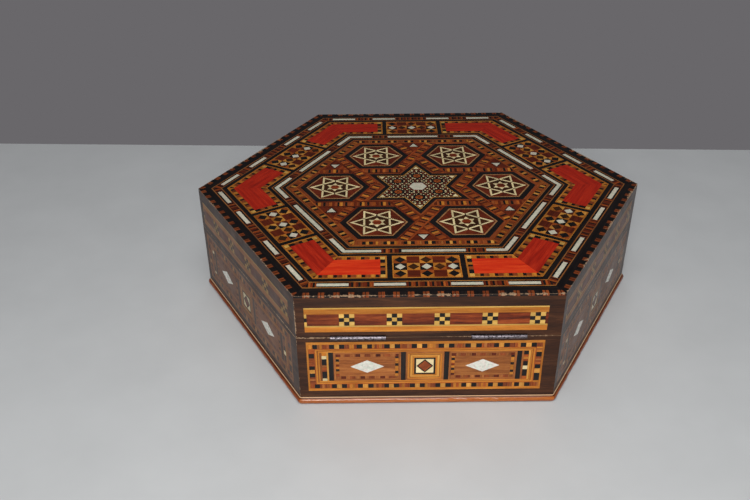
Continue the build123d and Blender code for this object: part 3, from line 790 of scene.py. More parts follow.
def lay_frame(number):
    """The mosaic frame of a side: dash rows in light lines, and a nest of thin frames within."""
    edge, dash = 1.6, 2.6
    column_edge, column_dash = 1.0, 2.8
    u0, u1 = left + column_edge, right - column_edge
    v0, v1 = field_z + edge, field_top - edge
    face = base_face(number, "mosaic_frames")
    for low, high in ((field_z, v0), (v1, field_top)):
        face.lay(rect(left, right, low, high), "orange")
    for low, high in ((left, u0), (u1, right)):
        face.lay(rect(low, high, v0, v1), "orange", 90)
    face.row(u0, u1, v0, v0 + dash, TOP_ROW, start=[("rust", 2.2), ("black", 2.7)])
    face.row(u0, u1, v1 - dash, v1, TOP_ROW, start=[("orange", 2.2), ("black", 2.5)])
    v0, v1 = v0 + dash, v1 - dash
    face.row(u0, u0 + column_dash, v0, v1, LEFT_COLUMN, across=True)
    face.row(u1 - column_dash, u1, v0, v1, RIGHT_COLUMN, across=True)
    outer = rect(u0 + column_dash, u1 - column_dash, v0, v1)
    inner = rect(left + frame_w, right - frame_w, field_z + frame_w, field_top - frame_w)
    face.nest(outer, inner, FRAME_NEST)


def lay_base_side(number):
    """All the inlay of a side, from its frame inwards."""
    lay_frame(number)
    low, high = field_z + frame_w, field_top - frame_w
    inner_left, inner_right = left + frame_w, right - frame_w
    columns = base_face(number, "block_columns")
    edge = 0.95
    for start, blocks in ((inner_left, LEFT_BLOCKS), (inner_right - block_column, RIGHT_BLOCKS)):
        end = start + block_column
        columns.lay(rect(start, start + edge, low, high), "brown", 90)
        columns.lay(rect(end - edge, end, low, high), "amber", 90)
        columns.row(start + edge, end - edge, low, high, blocks, across=True)
    half = (right - left) / 2 - frame_w - block_column - side_bar_w
    for turn in (-1, 1):
        u0, u1 = sorted(field_shift + turn * x for x in (half, centre_half + side_bar_w))
        lay_panel(base_face(number, "walnut_panels"), u0, u1, low, high)
    lay_mount(number, field_shift, (low + high) / 2, low, high)


def lay_panel(face, u0, u1, low, high):
    """Walnut with a dash border and a lozenge let in."""
    border, dash = 1.2, 1.7
    a0, a1, b0, b1 = u0 + border, u1 - border, low + border, high - border
    face.frame(rect(u0, u1, low, high), rect(a0, a1, b0, b1), "brown")
    face.row(a0, a1, b0, b0 + dash, INNER_DASHES)
    face.row(a0, a1, b1 - dash, b1, INNER_DASHES[1:] + INNER_DASHES[:1])
    face.row(a0, a0 + dash, b0 + dash, b1 - dash, INNER_BLOCKS, across=True)
    face.row(a1 - dash, a1, b0 + dash, b1 - dash, INNER_BLOCKS[1:], across=True)
    width, height = a1 - a0 - 2 * dash, b1 - b0 - 2 * dash
    middle = (u0 + u1) / 2, (low + high) / 2
    for index, part in enumerate(quarters(*middle, width, height, lozenge_w, lozenge_h)):
        face.lay(part, "brown", joint=0.0, twin=index > 0)


def lay_mount(number, u, v, low, high):
    """The middle panel: nested mitred frames round the tile."""
    outer = rect(u - centre_half, u + centre_half, low, high)
    square = centred(u, v, tile_side, tile_side)
    base_face(number, "mosaic_frames").nest(outer, square, MOUNT_NEST)
    line_w, glue = 0.9, 0.3
    inside = tile_side - 2 * line_w
    window = centred(u, v, inside, inside)
    face = base_face(number, "centre_tiles")
    face.frame(square, window, "black")
    bright, core = inside - glue, inside - 1.9
    face.lay_all(quarters(u, v, inside, inside, bright, bright), "bone")
    face.lay_all(ring(diamond(u, v, bright, bright), diamond(u, v, core, core)), "black")
    face.lay(diamond(u, v, core, core), "redbrown", 45)


# ---- Sides of the lid ----
def lay_lid_side(number):
    """Light bands with a pale edge, and checker blocks let into the redwood strip."""
    place = side_face(number)
    bands = Face(place, "lid_light_bands")
    pale = 0.8
    for low in (strip_z - light_band, strip_top):
        middle = low + light_band - pale
        bands.lay(rect(left, right, low, middle), "orange")
        bands.lay(rect(left, right, middle, low + light_band), "yellow")
    squares = 3
    redwood, checks = Face(place, "lid_redwood_strips"), Face(place, "lid_check_blocks")
    edge, last = right - check_end, right
    while last > left:
        redwood.lay(rect(max(edge, left), last, strip_z, strip_top), "rosewood")
        for column in range(squares):
            for row in range(squares):
                u = edge - check_block + column * check_block / squares
                v = strip_z + row * redwood_strip / squares
                name = "yellow" if (row + column) % 2 == 0 else "black"
                checks.line(u, u + check_block / squares, v, v + redwood_strip / squares, name,
                            [(-1, 0, -left)])
        last = edge - check_block
        edge -= check_pitch


# ---- Top ----
EDGE_ROW = [("black", 4.1), ("redbrown", 1.3), ("black", 0.3), ("redbrown", 1.5)]
FIELD_ROW = [("black", 2.0), ("amber", 1.7), ("black", 2.0), ("slivers", 5.2)]
SPACER = [("darkred", 1.2), ("black", 1.1), ("rust", 1.1), ("rosewood", 1.2), ("black", 1.0),
          ("redbrown", 1.1), ("darkred", 1.0)]
STRAP_ROW = [("orange", 1.7), ("redbrown", 1.4), ("black", 1.3), ("redbrown", 1.9), ("rust", 1.8),
             ("darkred", 1.5), ("redbrown", 1.5), ("black", 1.2)]
CHEVRON_ROW = [("black", 3.4), ("orange", 2.6), ("black", 1.8), ("redbrown", 2.6)]


def lay_bands(number):
    """The dash row at the top's edge, and the one round the field between its thin lines."""
    face = Face(top_face(number), "top_mosaic_bands")
    far = outside / sqrt(3)
    face.row(-far, far, a_ebony_4, outside, EDGE_ROW, MITRES, prefix="edge_")
    for v in (field_a, a_field_mosaic - light_line):
        face.line(-far, far, v, v + light_line, "rust", MITRES)
    face.row(-far, far, field_a + light_line, a_field_mosaic - light_line, FIELD_ROW, MITRES)


def lay_pearl_row(number, inner, outer, bars):
    """The mosaic round a row of pearl bars, given as (start, end) along the side."""
    place = top_face(number)
    face, pearls = Face(place, "top_bar_mosaic"), Face(place, "top_pearl_bars")
    middle, half = (inner + outer) / 2, bar_shown / 2
    far = outer / sqrt(3)
    gap_start = -far
    for start, end in bars:
        if start > gap_start:
            face.row(gap_start, start, inner, outer, SPACER, MITRES)
        for v0, v1 in ((inner, middle - half), (middle + half, outer)):
            face.line(max(start, -far), min(end, far), v0, v1, "black", MITRES)
        pearls.line(start, end, middle - half, middle + half, "pearl", MITRES)
        gap_start = end
    if gap_start < far:
        face.row(gap_start, far, inner, outer, SPACER, MITRES)


def lay_pearl_rows(number):
    """The outer row of four bars, and the inner row of one whole bar and the two at its ends."""
    near = outer_middle / 2
    far = near + pearl_bar_outer + outer_spacer
    starts = (-far - pearl_bar_outer, -near - pearl_bar_outer, near, far)
    lay_pearl_row(number, a_line_4, a_pearl_2, [(u, u + pearl_bar_outer) for u in starts])
    half = pearl_bar_inner / 2
    corner = half + inner_spacer
    shift = hinge_side_shift if number == HINGE_SIDE else 0
    lay_pearl_row(number, a_line_2, a_pearl_1, [(-outside, shift - corner),
                                                (shift - half, shift + half),
                                                (shift + corner, outside)])


def lay_lattice(number):
    """Diamonds and plain blocks by turns, in a frame; the pearls lie in the middle row."""
    face = Face(top_face(number), "top_lattices")
    choice = node_work("top_lattices").dice.choice
    glue, point = 0.2, 0.7
    middle = (a_ebony_2 + a_panels) / 2
    size = lattice_pitch_x, lattice_pitch_y
    half_u, half_v = lattice_columns * lattice_pitch_x / 2, lattice_rows * lattice_pitch_y / 2
    inner = rect(-half_u, half_u, middle - half_v, middle + half_v)
    outer = rect(-half_u - lattice_edge, half_u + lattice_edge, a_ebony_2, a_panels)
    face.lay_all(ring(outer, inner), "orange")
    for column in range(lattice_columns):
        for row in range(lattice_rows):
            u = (column - (lattice_columns - 1) / 2) * lattice_pitch_x
            v = middle + (row - (lattice_rows - 1) / 2) * lattice_pitch_y
            if column % 2 and row != 1:
                around = centred(u, v, *size)
                plain = centred(u, v, *(length - 2 * glue for length in size))
                face.lay(plain, "darkred")
                face.lay_all(ring(around, plain), "rust", joint=0.01)
            elif column % 2 or row != 1:
                shape = [length - point for length in size]
                dark = "umber" if column % 2 else choice(("black", "black", "umber"))
                face.lay(diamond(u, v, *shape), dark)
                for corner in quarters(u, v, *size, *shape):
                    face.lay(corner, choice(("orange", "amber", "rust")))
            else:
                for corner in quarters(u, v, *size, lattice_pearl, lattice_pearl):
                    face.lay(corner, choice(("darkred", "black")))


def lay_chevron_frames(number):
    """The light line and dash row round the red pieces."""
    face = Face(top_face(number), "top_chevron_frames")
    start = lattice_columns * lattice_pitch_x / 2 + lattice_edge + lattice_bar
    red = start + chevron_frame
    low, high = a_ebony_2 + light_line, a_panels - light_line
    inner, outer = a_ebony_2 + chevron_frame, a_panels - chevron_frame
    far = a_panels / sqrt(3)
    for turn in (1, -1):
        ends, first, column, rest = (sorted((turn * u0, turn * u1)) for u0, u1 in
                                     ((start, far), (start, start + light_line),
                                      (start + light_line, red), (red, far)))
        planes = [(turn, -1 / sqrt(3), 0)]
        for v0, v1 in ((a_ebony_2, low), (high, a_panels)):
            face.line(*ends, v0, v1, "orange", planes)
        face.lay(rect(*first, low, high), "orange", 90)
        face.row(*column, inner, outer, CHEVRON_ROW, across=True)
        for v0, v1 in ((low, inner), (outer, high)):
            face.lay(rect(*column, v0, v1), "yellow")
            face.row(*rest, v0, v1, CHEVRON_ROW[1:], planes)


# ---- The field inside the bands ----
def toward(angle):
    """The direction of that angle from the side's own, as (u, v)."""
    return sin(radians(angle)), cos(radians(angle))


def beyond(angle, apothem):
    """The plane that keeps what lies beyond an apothem in that direction."""
    a, b = toward(angle)
    return -a, -b, -apothem


def within(angle, apothem):
    """The plane that keeps what lies within it."""
    a, b = toward(angle)
    return a, b, apothem


def lay_straps(number):
    """One strap of the field with its two arms, and the plain margins beside the star."""
    face = Face(top_face(number), "top_field")
    edge, far = 1.3, 70.0
    arms = [((0, far), [beyond(60, strap_in), within(120, strap_in)]),
            ((0, far), [beyond(60, strap_in), beyond(120, strap_out), within(60, field_a)]),
            ((-far, 0), [beyond(-60, strap_out), within(-60, field_a)])]
    stops = strap_in, strap_in + edge, strap_out - edge, strap_out
    for v0, v1 in zip(stops, stops[1:]):
        for span, planes in arms:
            if v0 == stops[1]:
                face.row(*span, v0, v1, STRAP_ROW, planes)
            else:
                face.line(*span, v0, v1, "rosewood", planes)
    for turn in (-1, 1):
        planes = [(-turn, 1 / sqrt(3), 0), (turn, -sqrt(3), 0)]
        face.line(*sorted((0, turn * far)), star_edge, strap_in, "redbrown", planes)


def lay_field_side(number):
    """What lies between the medallions and the band: thin margins and the triangle."""
    face = Face(top_face(number), "top_field")
    margin = medallion_orbit * COS30 + strap_in
    far = 40.0
    for turn in (-1, 1):
        face.line(*sorted((0, turn * far)), margin, field_a, "redbrown",
                  MITRES + [within(-60 * turn, strap_in)])
    tip = 2 * strap_out
    half = (field_a - tip) / sqrt(3)
    corners = [(0, tip), (half, field_a), (-half, field_a)]
    middles = [((p[0] + q[0]) / 2, (p[1] + q[1]) / 2) for p, q in edges(corners)]
    for index, name in enumerate(("rosewood", "darkred", "darkred")):
        face.lay([corners[index], middles[index], middles[index - 1]], name)
    orbit = (field_a + strap_out) / 1.5
    radius = triangle_side / sqrt(3)
    pearl = [(0, orbit + radius), (-triangle_side / 2, orbit - radius / 2),
             (triangle_side / 2, orbit - radius / 2)]
    face.lay_all(ring([middles[1], middles[2], middles[0]], pearl), "black")


def lay_medallion(number):
    """A black frame, and a star of bone strips with small triangles round its heart."""
    centre = polar(medallion_orbit, 60 * number)

    def place(u, v, w):
        return Vector((centre[0] + u, centre[1] + v, veneer_z + w))

    frames, grounds, bones = (Face(place, node) for node in
                              ("field_ebony_frames", "medallion_grounds", "medallion_stars"))
    frame_r = medallion_r - medallion_frame / COS30
    for k, bar in enumerate(ring(hexagon(medallion_r), hexagon(frame_r))):
        frames.lay(bar, "black", 60 * k + 120, joint=0.0)
    ground_r = medallion_r - (medallion_frame + medallion_line) / COS30
    near, far = ((medallion_star_r + turn * star_line) / 2 for turn in (-1, 1))
    leg = (2 * far - near) / COS30
    orbit = near + leg / (2 * sqrt(3))
    heart = (spark_orbit - spark_side / sqrt(12)) / COS30
    for k in range(6):
        a, b = 60 * k, 60 * k + 60
        grounds.lay([polar(far / COS30, a + 30), polar(2 * far, a), polar(ground_r, a),
                     polar(ground_r, b), polar(2 * far, b)], "darkred", a)
        outline = triangle(leg, polar(orbit, a), a)
        core = triangle(leg - 2 * sqrt(3) * star_line, polar(orbit, a), a)
        sector = [polar(1, a + turn) for turn in (120, -120)]
        for strip in ring(outline, core):
            bones.lay(clip(strip, [(*n, -star_node) for n in sector]), "bone", a)
            for n in sector:
                crossing = clip(strip, [(*n, 0), (-n[0], -n[1], star_node)])
                grounds.lay(crossing, "black", a, joint=0.0)
        grounds.lay(core, "umber", a)
        bones.lay(spark(a + 30), "bone", a)
        flat = polar(near, a)
        for turn in (-1, 1):
            beside = spark(a + 30 * turn)
            foot = min(beside[1:], key=lambda p: hypot(p[0] - flat[0], p[1] - flat[1]))
            notch = polar(near / COS30, a + 30 * turn)
            grounds.lay([flat, notch, beside[0], foot, polar(heart, a)], "umber", a)
    core_hex = hexagon(heart - heart_line)
    grounds.lay_all(ring(hexagon(heart), core_hex), "bone")
    grounds.lay(core_hex, "rosewood")


def spark(angle):
    return triangle(spark_side, polar(spark_orbit, angle), angle)


def lay_star():
    """The centre star: rosettes of small triangles, with a pearl hexagon in the middle."""
    def place(u, v, w):
        return Vector((u, v, veneer_z + w))

    face, frames = Face(place, "centre_star"), Face(place, "field_ebony_frames")
    border_r, inner_r = star_r + 2 * star_border, star_shown - 2 * star_inset
    arms = hexagon(border_r, 30), hexagon(star_shown, 30), hexagon(inner_r, 30)
    forks = [hexagon(radius / sqrt(3)) for radius in (border_r, star_shown, inner_r)]
    for k in range(6):
        for fork in (k, (k + 1) % 6):
            black, gold = [[arms[i][k], forks[i][fork], forks[i + 1][fork], arms[i + 1][k]]
                           for i in (0, 1)]
            frames.lay(black, "black", 60 * k, joint=0.0)
            face.lay(gold, "amber", joint=0.02)
    unit = inner_r / sqrt(3) / 2
    for index, centre in enumerate([(0, 0)] + hexagon(inner_r / 2, 30)):
        for k in range(6):
            corners = fan(centre, unit, 60 * k, 60 * k + 60)
            lay_rosette_share(face, corners, index == 0)
    for k, tip in enumerate(arms[2]):
        lay_tip(face, fan(tip, unit, 60 * k + 180, 60 * k + 240))


def fan(centre, radius, *angles):
    """A point, and the points at some angles round it."""
    return [centre] + [(centre[0] + x, centre[1] + y)
                       for x, y in (polar(radius, angle) for angle in angles)]


def grid_point(corners, row, column, rows):
    """A point of the grid that parts a triangle into rows, counted down from its apex."""
    apex, first, second = corners
    return tuple(p + (q - p) * (row - column) / rows + (r - p) * column / rows
                 for p, q, r in zip(apex, first, second))


def small_triangles(corners, rows):
    """The rows of small triangles below an apex, as (row, upright, outline)."""
    for row in range(rows):
        for column in range(row + 1):
            yield row, True, [grid_point(corners, row, column, rows),
                              grid_point(corners, row + 1, column, rows),
                              grid_point(corners, row + 1, column + 1, rows)]
        for column in range(row):
            yield row, False, [grid_point(corners, row, column, rows),
                               grid_point(corners, row, column + 1, rows),
                               grid_point(corners, row + 1, column + 1, rows)]


def middle_of(outline):
    return [sum(p[axis] for p in outline) / len(outline) for axis in (0, 1)]


DOT_ROWS = 3                     # rows of small triangles in a sixth of a rosette, and in a tip


def lay_dot(face, outline, name, share=0.62):
    """A small triangle with a black edge."""
    u, v = middle_of(outline)
    core = [(u + (p[0] - u) * share, v + (p[1] - v) * share) for p in outline]
    face.lay_all(ring(outline, core), "black", joint=0.0)
    face.lay(core, name, joint=0.02)


def lay_rosette_share(face, corners, middle):
    """A sixth of a rosette: a rust heart, bone dots, and dark wood between them."""
    for row, upright, outline in small_triangles(corners, DOT_ROWS):
        if middle and row < 2:
            lay_outside_pearl(face, outline)
        elif row == 0:
            lay_dot(face, outline, "rust", 0.8)
        elif not upright:
            face.lay(outline, "black" if row == 1 else "darkred", joint=0.01)
        else:
            lay_dot(face, outline, "bone", node_work("centre_star").dice.uniform(0.36, 0.6))


def lay_outside_pearl(face, outline):
    """The part of a small triangle beside the pearl hexagon."""
    u, v = middle_of(outline)
    angle = round((atan2(v, u) * 180 / pi - 30) / 60) * 60 + 30
    a, b = polar(1, angle)
    face.lay(clip(outline, [(-a, -b, -pearl_r * COS30)]), "black", joint=0.0)


def lay_tip(face, corners):
    """The end of an arm: a bone triangle above a row of dots."""
    for row, upright, outline in small_triangles(corners, DOT_ROWS):
        if row == 2 and upright:
            lay_dot(face, outline, "bone")
        elif row == 2:
            face.lay(outline, "darkred", joint=0.01)
    big = [corners[0]] + [tuple(p + (q - p) * 2 / 3 for p, q in zip(corners[0], foot))
                          for foot in corners[1:]]
    lay_dot(face, big, "bone", 0.7)


for number in range(6):
    lay_base_side(number)
    lay_lid_side(number)
    lay_bands(number)
    lay_pearl_rows(number)
    lay_lattice(number)
    lay_chevron_frames(number)
    lay_straps(number)
    lay_field_side(number)
    lay_medallion(number)
lay_star()
for piece in work.values():
    piece.build()


# ---- Moulding ----
def moulding_profile(low):
    """Distance beyond the veneer and height, from the back of the foot round to the top."""
    middle, radii = (0.42, 1.75), (1.08, 1.45)
    points = [(-veneer, low), (0.2, low), (0.75, low + 0.12)]
    points += [(middle[0] + radii[0] * cos(radians(a)), middle[1] + radii[1] * sin(radians(a)))
               for a in range(-60, 91, 15)]
    return points + [(0.3, 3.3), (0.34, 3.72), (0.22, 3.92), (0.0, 3.98), (-veneer, 3.98)]


def moulding_dents(dice, side):
    """Place, reach and depth of a side's dents; the hinge side has a chip of its own."""
    dents = [(dice.uniform(-60, 60), dice.uniform(0.6, 1.6), dice.uniform(0.05, 0.28))
             for _ in range(7)]
    return dents + [(14.0, 1.3, 0.4)] if side == HINGE_SIDE else dents


def lay_moulding(node, sides, low):
    """A rounded strip with a small quirk above it, worn round at its mitres and a little dented."""
    dice = Random(node)
    points, faces, painted_shade_faces = [], [], []
    profile = moulding_profile(low)
    round_in = 1.36
    pivot = (outside - round_in) / sqrt(3)
    bends = (10, 20, 30)
    stations = [(-pivot, -angle) for angle in reversed(bends)]
    stations += [(u, 0) for u in steps([-pivot, pivot], 1.6)]
    stations += [(pivot, angle) for angle in bends]
    for side in sides:
        turn = side_turn(side)
        dents = moulding_dents(dice, side)
        rows = []
        for u, angle in stations:
            dent = sum(depth * max(0, 1 - ((u - at) / reach) ** 2) for at, reach, depth in dents)
            dent += 0.04 * sin(0.31 * u + side) + 0.03 * sin(0.83 * u)
            rows.append(range(len(points), len(points) + len(profile)))
            for out, height in profile:
                on_round = 1.0 < height < 3.25 and out > 0.6
                worn = dent if on_round else 0
                reach = out - worn + round_in
                x, y = reach * sin(radians(angle)), reach * cos(radians(angle))
                points.append(turn @ Vector((u + x, round_in - outside - y, height)) * MM)
        for row, following in zip(rows, rows[1:]):
            faces += band(list(row), list(following))
        faces += [list(rows[0]), list(rows[-1])[::-1]]
        # every side but the hinge side takes the darker moulding: painted shade
        painted_shade_faces += [min(side, 1)] * (len(faces) - len(painted_shade_faces))
    obj = replace_node(node, "_strip", points, faces, [moulding_wood, side_moulding], smooth=True)
    obj.data.polygons.foreach_set("material_index", painted_shade_faces)


# ---- CAD nodes that stay, with better materials ----
def red_wood():
    """Dyed veneer; on the hinge side it takes a brighter red as painted light, for the sheen of grain
    that faces the viewer across.
    """
    g = Graph("red_veneer")
    flat, sector = g.side_frame()
    grain = g.moved(flat, g.times(sector, 19.3))
    figure = g.noise(grain, (0.03, 0.5, 0.5), 4, 0.55, 0.8)
    fibre = g.noise(grain, (0.12, 4.0, 4.0), 3, 0.6)
    both = g.blend(figure, 0.5, fibre)
    deep, painted_lit = (g.ramp(both, tones) for tones in (RED, PAINTED_LIT_RED))
    # painted light: the hinge side takes the brighter red
    painted_lit_side = g.math("COMPARE", g.math("ABSOLUTE", sector), 0.0, 0.4)
    g.varnished(0.3, Base_Color=g.mix(painted_lit_side, deep, painted_lit),
                Roughness=g.span(figure, 0.3, 0.7, 0.34, 0.5), Normal=g.bump(fibre, 0.25, 0.00005))
    return g.material


def light_line_wood():
    """Thin pale lines: amber round the bands, lighter inside the field, with dark glue edges; off the
    hinge side they are darkened as painted shade.
    """
    g = Graph("line_wood")
    flat, sector = g.side_frame()
    apothem = g.times(g.parts(flat)["Y"], -1.0)
    off = 99.0                   # more than any gap
    for line_top in (a_line_1, a_line_2, a_line_3, a_line_4, a_line_5):
        off = g.math("MINIMUM", off, g.gap(apothem, line_top - light_line / 2))
    fibre = g.noise(flat, (0.1, 1.5, 1.5), 3, 0.6)
    outer = g.ramp(fibre, colours((140, 80, 30), (182, 112, 44), (206, 142, 70)))
    outer = g.mix(g.span(off, 0.16, 0.3), outer, colour(44, 24, 14))
    # painted shade on every side but the hinge side
    outer = g.mix(g.times(off_hinge_side(g, sector), 0.5), outer, colour(84, 42, 24))
    pale = g.ramp(fibre, colours((132, 84, 46), (178, 130, 82)), (0.35, 0.6))
    inside = g.math("LESS_THAN", apothem, field_a)
    g.varnished(0.5, Base_Color=g.mix(inside, outer, pale), Roughness=0.42,
                Specular_IOR_Level=0.16)
    return g.material


moulding_wood, side_moulding = (
    wood(name, tones, False, rough=(0.2, 0.36), coat=0.8, reflection_veil=0.0, painted_lines=True)
    for name, tones in (("moulding_wood", MOULDING), ("side_moulding", PAINTED_SHADE_MOULDING)))
lay_moulding("base_moulding", [side for side in range(6) if side != LOCK_SIDE], 0.0)
lay_moulding("drawer_moulding", [LOCK_SIDE], floor_gap)
steel = metal("steel", colour(122, 116, 122), colour(24, 20, 18), (0.3, 0.55), patch=1.2)
planed = raw_wood()
by_slot = {
    "ebony": wood("ebony_band", EBONY, False),
    "light_wood": light_line_wood(),
    "walnut_dark": wood("walnut_border", WALNUT, False, contrast=1.1, coarse=0.7, worn=0.45,
                        reflection_veil=0.0),
    "pearl": shell("white_pearl", WHITE_PEARL, False),
    "red_inlay": red_wood(),
    "steel": steel,
    "brass": metal("brass", colour(204, 164, 92), colour(122, 86, 42), (0.22, 0.4)),
}
by_node = {
    "base_ebony_bars": wood("ebony_bar", EBONY, False, up=True),
    "top_pearl_inlays": shell("mother_of_pearl", PEARL, False),
    "lock_bolt": steel,
}
for node, obj in frame["nodes"].items():
    if not obj.hide_render:
        obj.data.materials.clear()
        obj.data.materials.append(by_node.get(node) or by_slot.get(SLOT_OF[node], planed))


# ---- Velvet linings ----
def swell(distance):
    """Height of the velvet above its card, from the distance to the card's edge."""
    return lining * (0.35 + 0.6 * (1 - 2.718 ** (-distance / 0.9)))


def ripple(u, v):
    """The slow unevenness of the glued velvet."""
    return 0.03 * lining * (sin(0.21 * u + 0.4 * sin(0.13 * v)) + sin(0.17 * v + 0.11 * u))


class Pad:
    """Velvet-covered cards, each closed, thin at its edges and swelling towards the middle."""

    def __init__(self, node):
        self.node, self.points, self.faces = node, [], []

    def strip(self, place, u1, v0, v1, notch=None):
        """A card from -u1 to u1 and v0 to v1, with a notch (u0, u1, v0, v1) cut out of it."""
        us, vs = {-u1, u1}, {v0, v1}
        us |= {side * (u1 - w) for side in (-1, 1) for w in PAD_RIMS}
        vs |= {v0 + w for w in PAD_RIMS} | {v1 - w for w in PAD_RIMS}
        if notch:
            us |= {notch[0] - w for w in PAD_RIMS} | {notch[1] + w for w in PAD_RIMS}
            vs |= {v for w in PAD_RIMS for v in (notch[2] - w, notch[3] + w) if v0 < v < v1}
        us, vs = steps(sorted(us), pad_step), steps(sorted(vs), pad_step)

        def gap(u, v):
            """Distance to the nearest edge of the card, below zero in its notch."""
            edge = min(u1 - abs(u), v - v0, v1 - v)
            if not notch:
                return edge
            out_u = max(notch[0] - u, u - notch[1])
            out_v = max(notch[2] - v, v - notch[3])
            return min(edge, max(out_u, out_v) if min(out_u, out_v) < 0 else hypot(out_u, out_v))

        cells = []
        for i in range(len(us) - 1):
            for j in range(len(vs) - 1):
                middle = (us[i] + us[i + 1]) / 2, (vs[j] + vs[j + 1]) / 2
                if gap(*middle) > 0:
                    cells.append((i, j))
        self.sheet(place, us, vs, cells, gap)

    def sheet(self, place, us, vs, cells, gap):
        """The front, the back and the edges of a card, from the cells of its grid."""
        index = {}

        def point(i, j, back):
            key = i, j, back
            if key not in index:
                u, v = us[i], vs[j]
                w = pad_gap if back else swell(max(gap(u, v), 0)) + ripple(u, v)
                index[key] = len(self.points)
                self.points.append(place(u, v, w) * MM)
            return index[key]

        there = set(cells)
        for i, j in cells:
            quad = [(i, j), (i + 1, j), (i + 1, j + 1), (i, j + 1)]
            self.faces.append([point(a, b, False) for a, b in quad])
            self.faces.append([point(a, b, True) for a, b in quad[::-1]])
            for (a, b), next_to in zip(edges(quad), ((i, j - 1), (i + 1, j), (i, j + 1), (i - 1, j))):
                if next_to not in there:
                    self.faces.append([point(*b, False), point(*a, False), point(*a, True),
                                       point(*b, True)])

    def hexagonal(self, place, apothem):
        """A six-sided card in rings from the edge to the middle."""
        inner_rings, ring_w, per_side = 11, 9.0, 24
        insets = [0.0, *PAD_RIMS] + [6.0 + ring_w * i for i in range(inner_rings)]
        rings = []
        for level, inset in enumerate(insets):
            corners = hexagon((apothem - inset) / COS30)
            ring_points = []
            for (u0, v0), (u1, v1) in edges(corners):
                for i in range(per_side):
                    u = u0 + (u1 - u0) * i / per_side
                    v = v0 + (v1 - v0) * i / per_side
                    w = pad_gap if level == 0 else swell(inset) + ripple(u, v)
                    ring_points.append(len(self.points))
                    self.points.append(place(u, v, w) * MM)
            rings.append(ring_points)
        for outer, inner in zip(rings, rings[1:]):
            for (a, b), (c, d) in zip(edges(outer), edges(inner)):
                self.faces.append([a, b, d, c])
        self.faces += [rings[-1], rings[0][::-1]]

    def build(self):
        obj = replace_node(self.node, "_velvet", self.points, self.faces, [pile], smooth=True,
                           outward=True)


def inner_face(side):
    """Inner faces grow narrower towards the room, so that the pads meet in mitres."""
    turn = side_turn(side)
    return lambda u, v, w: turn @ Vector((u * (wall_in - w) / (wall_in - lining), w - wall_in, v))


def lay_linings():
    """A floor pad and six wall pads in the base and in the lid, cut out round the lock's parts."""
    half = (wall_in - lining) / sqrt(3) - pad_gap
    base, lid = Pad("base_lining"), Pad("lid_lining")
    apothem = wall_in - pad_play
    base.hexagonal(lambda u, v, w: Vector((u, v, floor_z + w)), apothem)
    lid.hexagonal(lambda u, v, w: Vector((u, v, lid_ceiling - w)), apothem)
    case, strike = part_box("lock_case"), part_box("lock_strike")
    gap = slide_fit
    for side in range(6):
        case_notch = strike_notch = None
        if side == LOCK_SIDE:
            case_notch = (-case[1].x / MM - gap, -case[0].x / MM + gap, case[0].z / MM - gap, top)
            strike_notch = (-strike[1].x / MM - gap, -strike[0].x / MM + gap, 0,
                            strike[1].z / MM + gap)
        base.strip(inner_face(side), half, floor_z + lining, rim - lining_drop, case_notch)
        lid.strip(inner_face(side), half, lid_rim + lining_drop, lid_ceiling - lining,
                  strike_notch)
    base.build()
    lid.build()


pile = velvet()
lay_linings()


# ---- Screws with slotted heads ----
def islands(mesh):
    """The vertex coordinates of each loose part of a mesh."""
    parts = {vertex.index: vertex.index for vertex in mesh.vertices}

    def root(index):
        while parts[index] != index:
            index = parts[index]
        return index

    for edge in mesh.edges:
        first, second = (root(index) for index in edge.vertices)
        parts[first] = second
    merged = {}
    for vertex in mesh.vertices:
        merged.setdefault(root(vertex.index), []).append(vertex.co)
    return list(merged.values())


def screw_profile(length):
    """Radius and depth below the head's face, from the rim of the head to the tip."""
    head, shank, cone = 1.38, 0.68, 0.7
    points = [(head, 0.06), (head - 0.04, 0.14), (shank, cone)]
    pitch, depth = 0.55, cone
    while depth + pitch < length - 0.9:
        points += [(shank - 0.14, depth + pitch * 0.5), (shank, depth + pitch)]
        depth += pitch
    return points + [(shank * 0.7, length - 0.5), (0.12, length - 0.05)]


def screws(node):
    """Round slotted screws standing where the plain ones do."""
    points, faces = [], []
    dice = Random(node)
    for loose in islands(frame["nodes"][node].data):
        low = Vector(min(co[i] for co in loose) for i in range(3)) / MM
        high = Vector(max(co[i] for co in loose) for i in range(3)) / MM
        size, middle = high - low, (low + high) / 2
        axis = max(range(3), key=lambda i: size[i])

        def width(end):
            """The radius of the plain screw at one end, which tells its head from its tip."""
            across = [i for i in range(3) if i != axis]
            near = [co / MM for co in loose if abs(co[axis] / MM - end) < 0.05]
            return max(hypot(*(co[i] - middle[i] for i in across)) for co in near)

        up = Vector((0, 0, 0))
        up[axis] = 1 if width(high[axis]) > width(low[axis]) else -1
        face = middle.copy()
        face[axis] = high[axis] if up[axis] > 0 else low[axis]
        turn = up.to_track_quat("Z", "Y").to_matrix() @ Matrix.Rotation(dice.uniform(0, 3), 3, "Z")
        add_screw(points, faces, face, turn, size[axis])
    replace_node(node, "_slotted", points, faces, [steel], smooth=True)


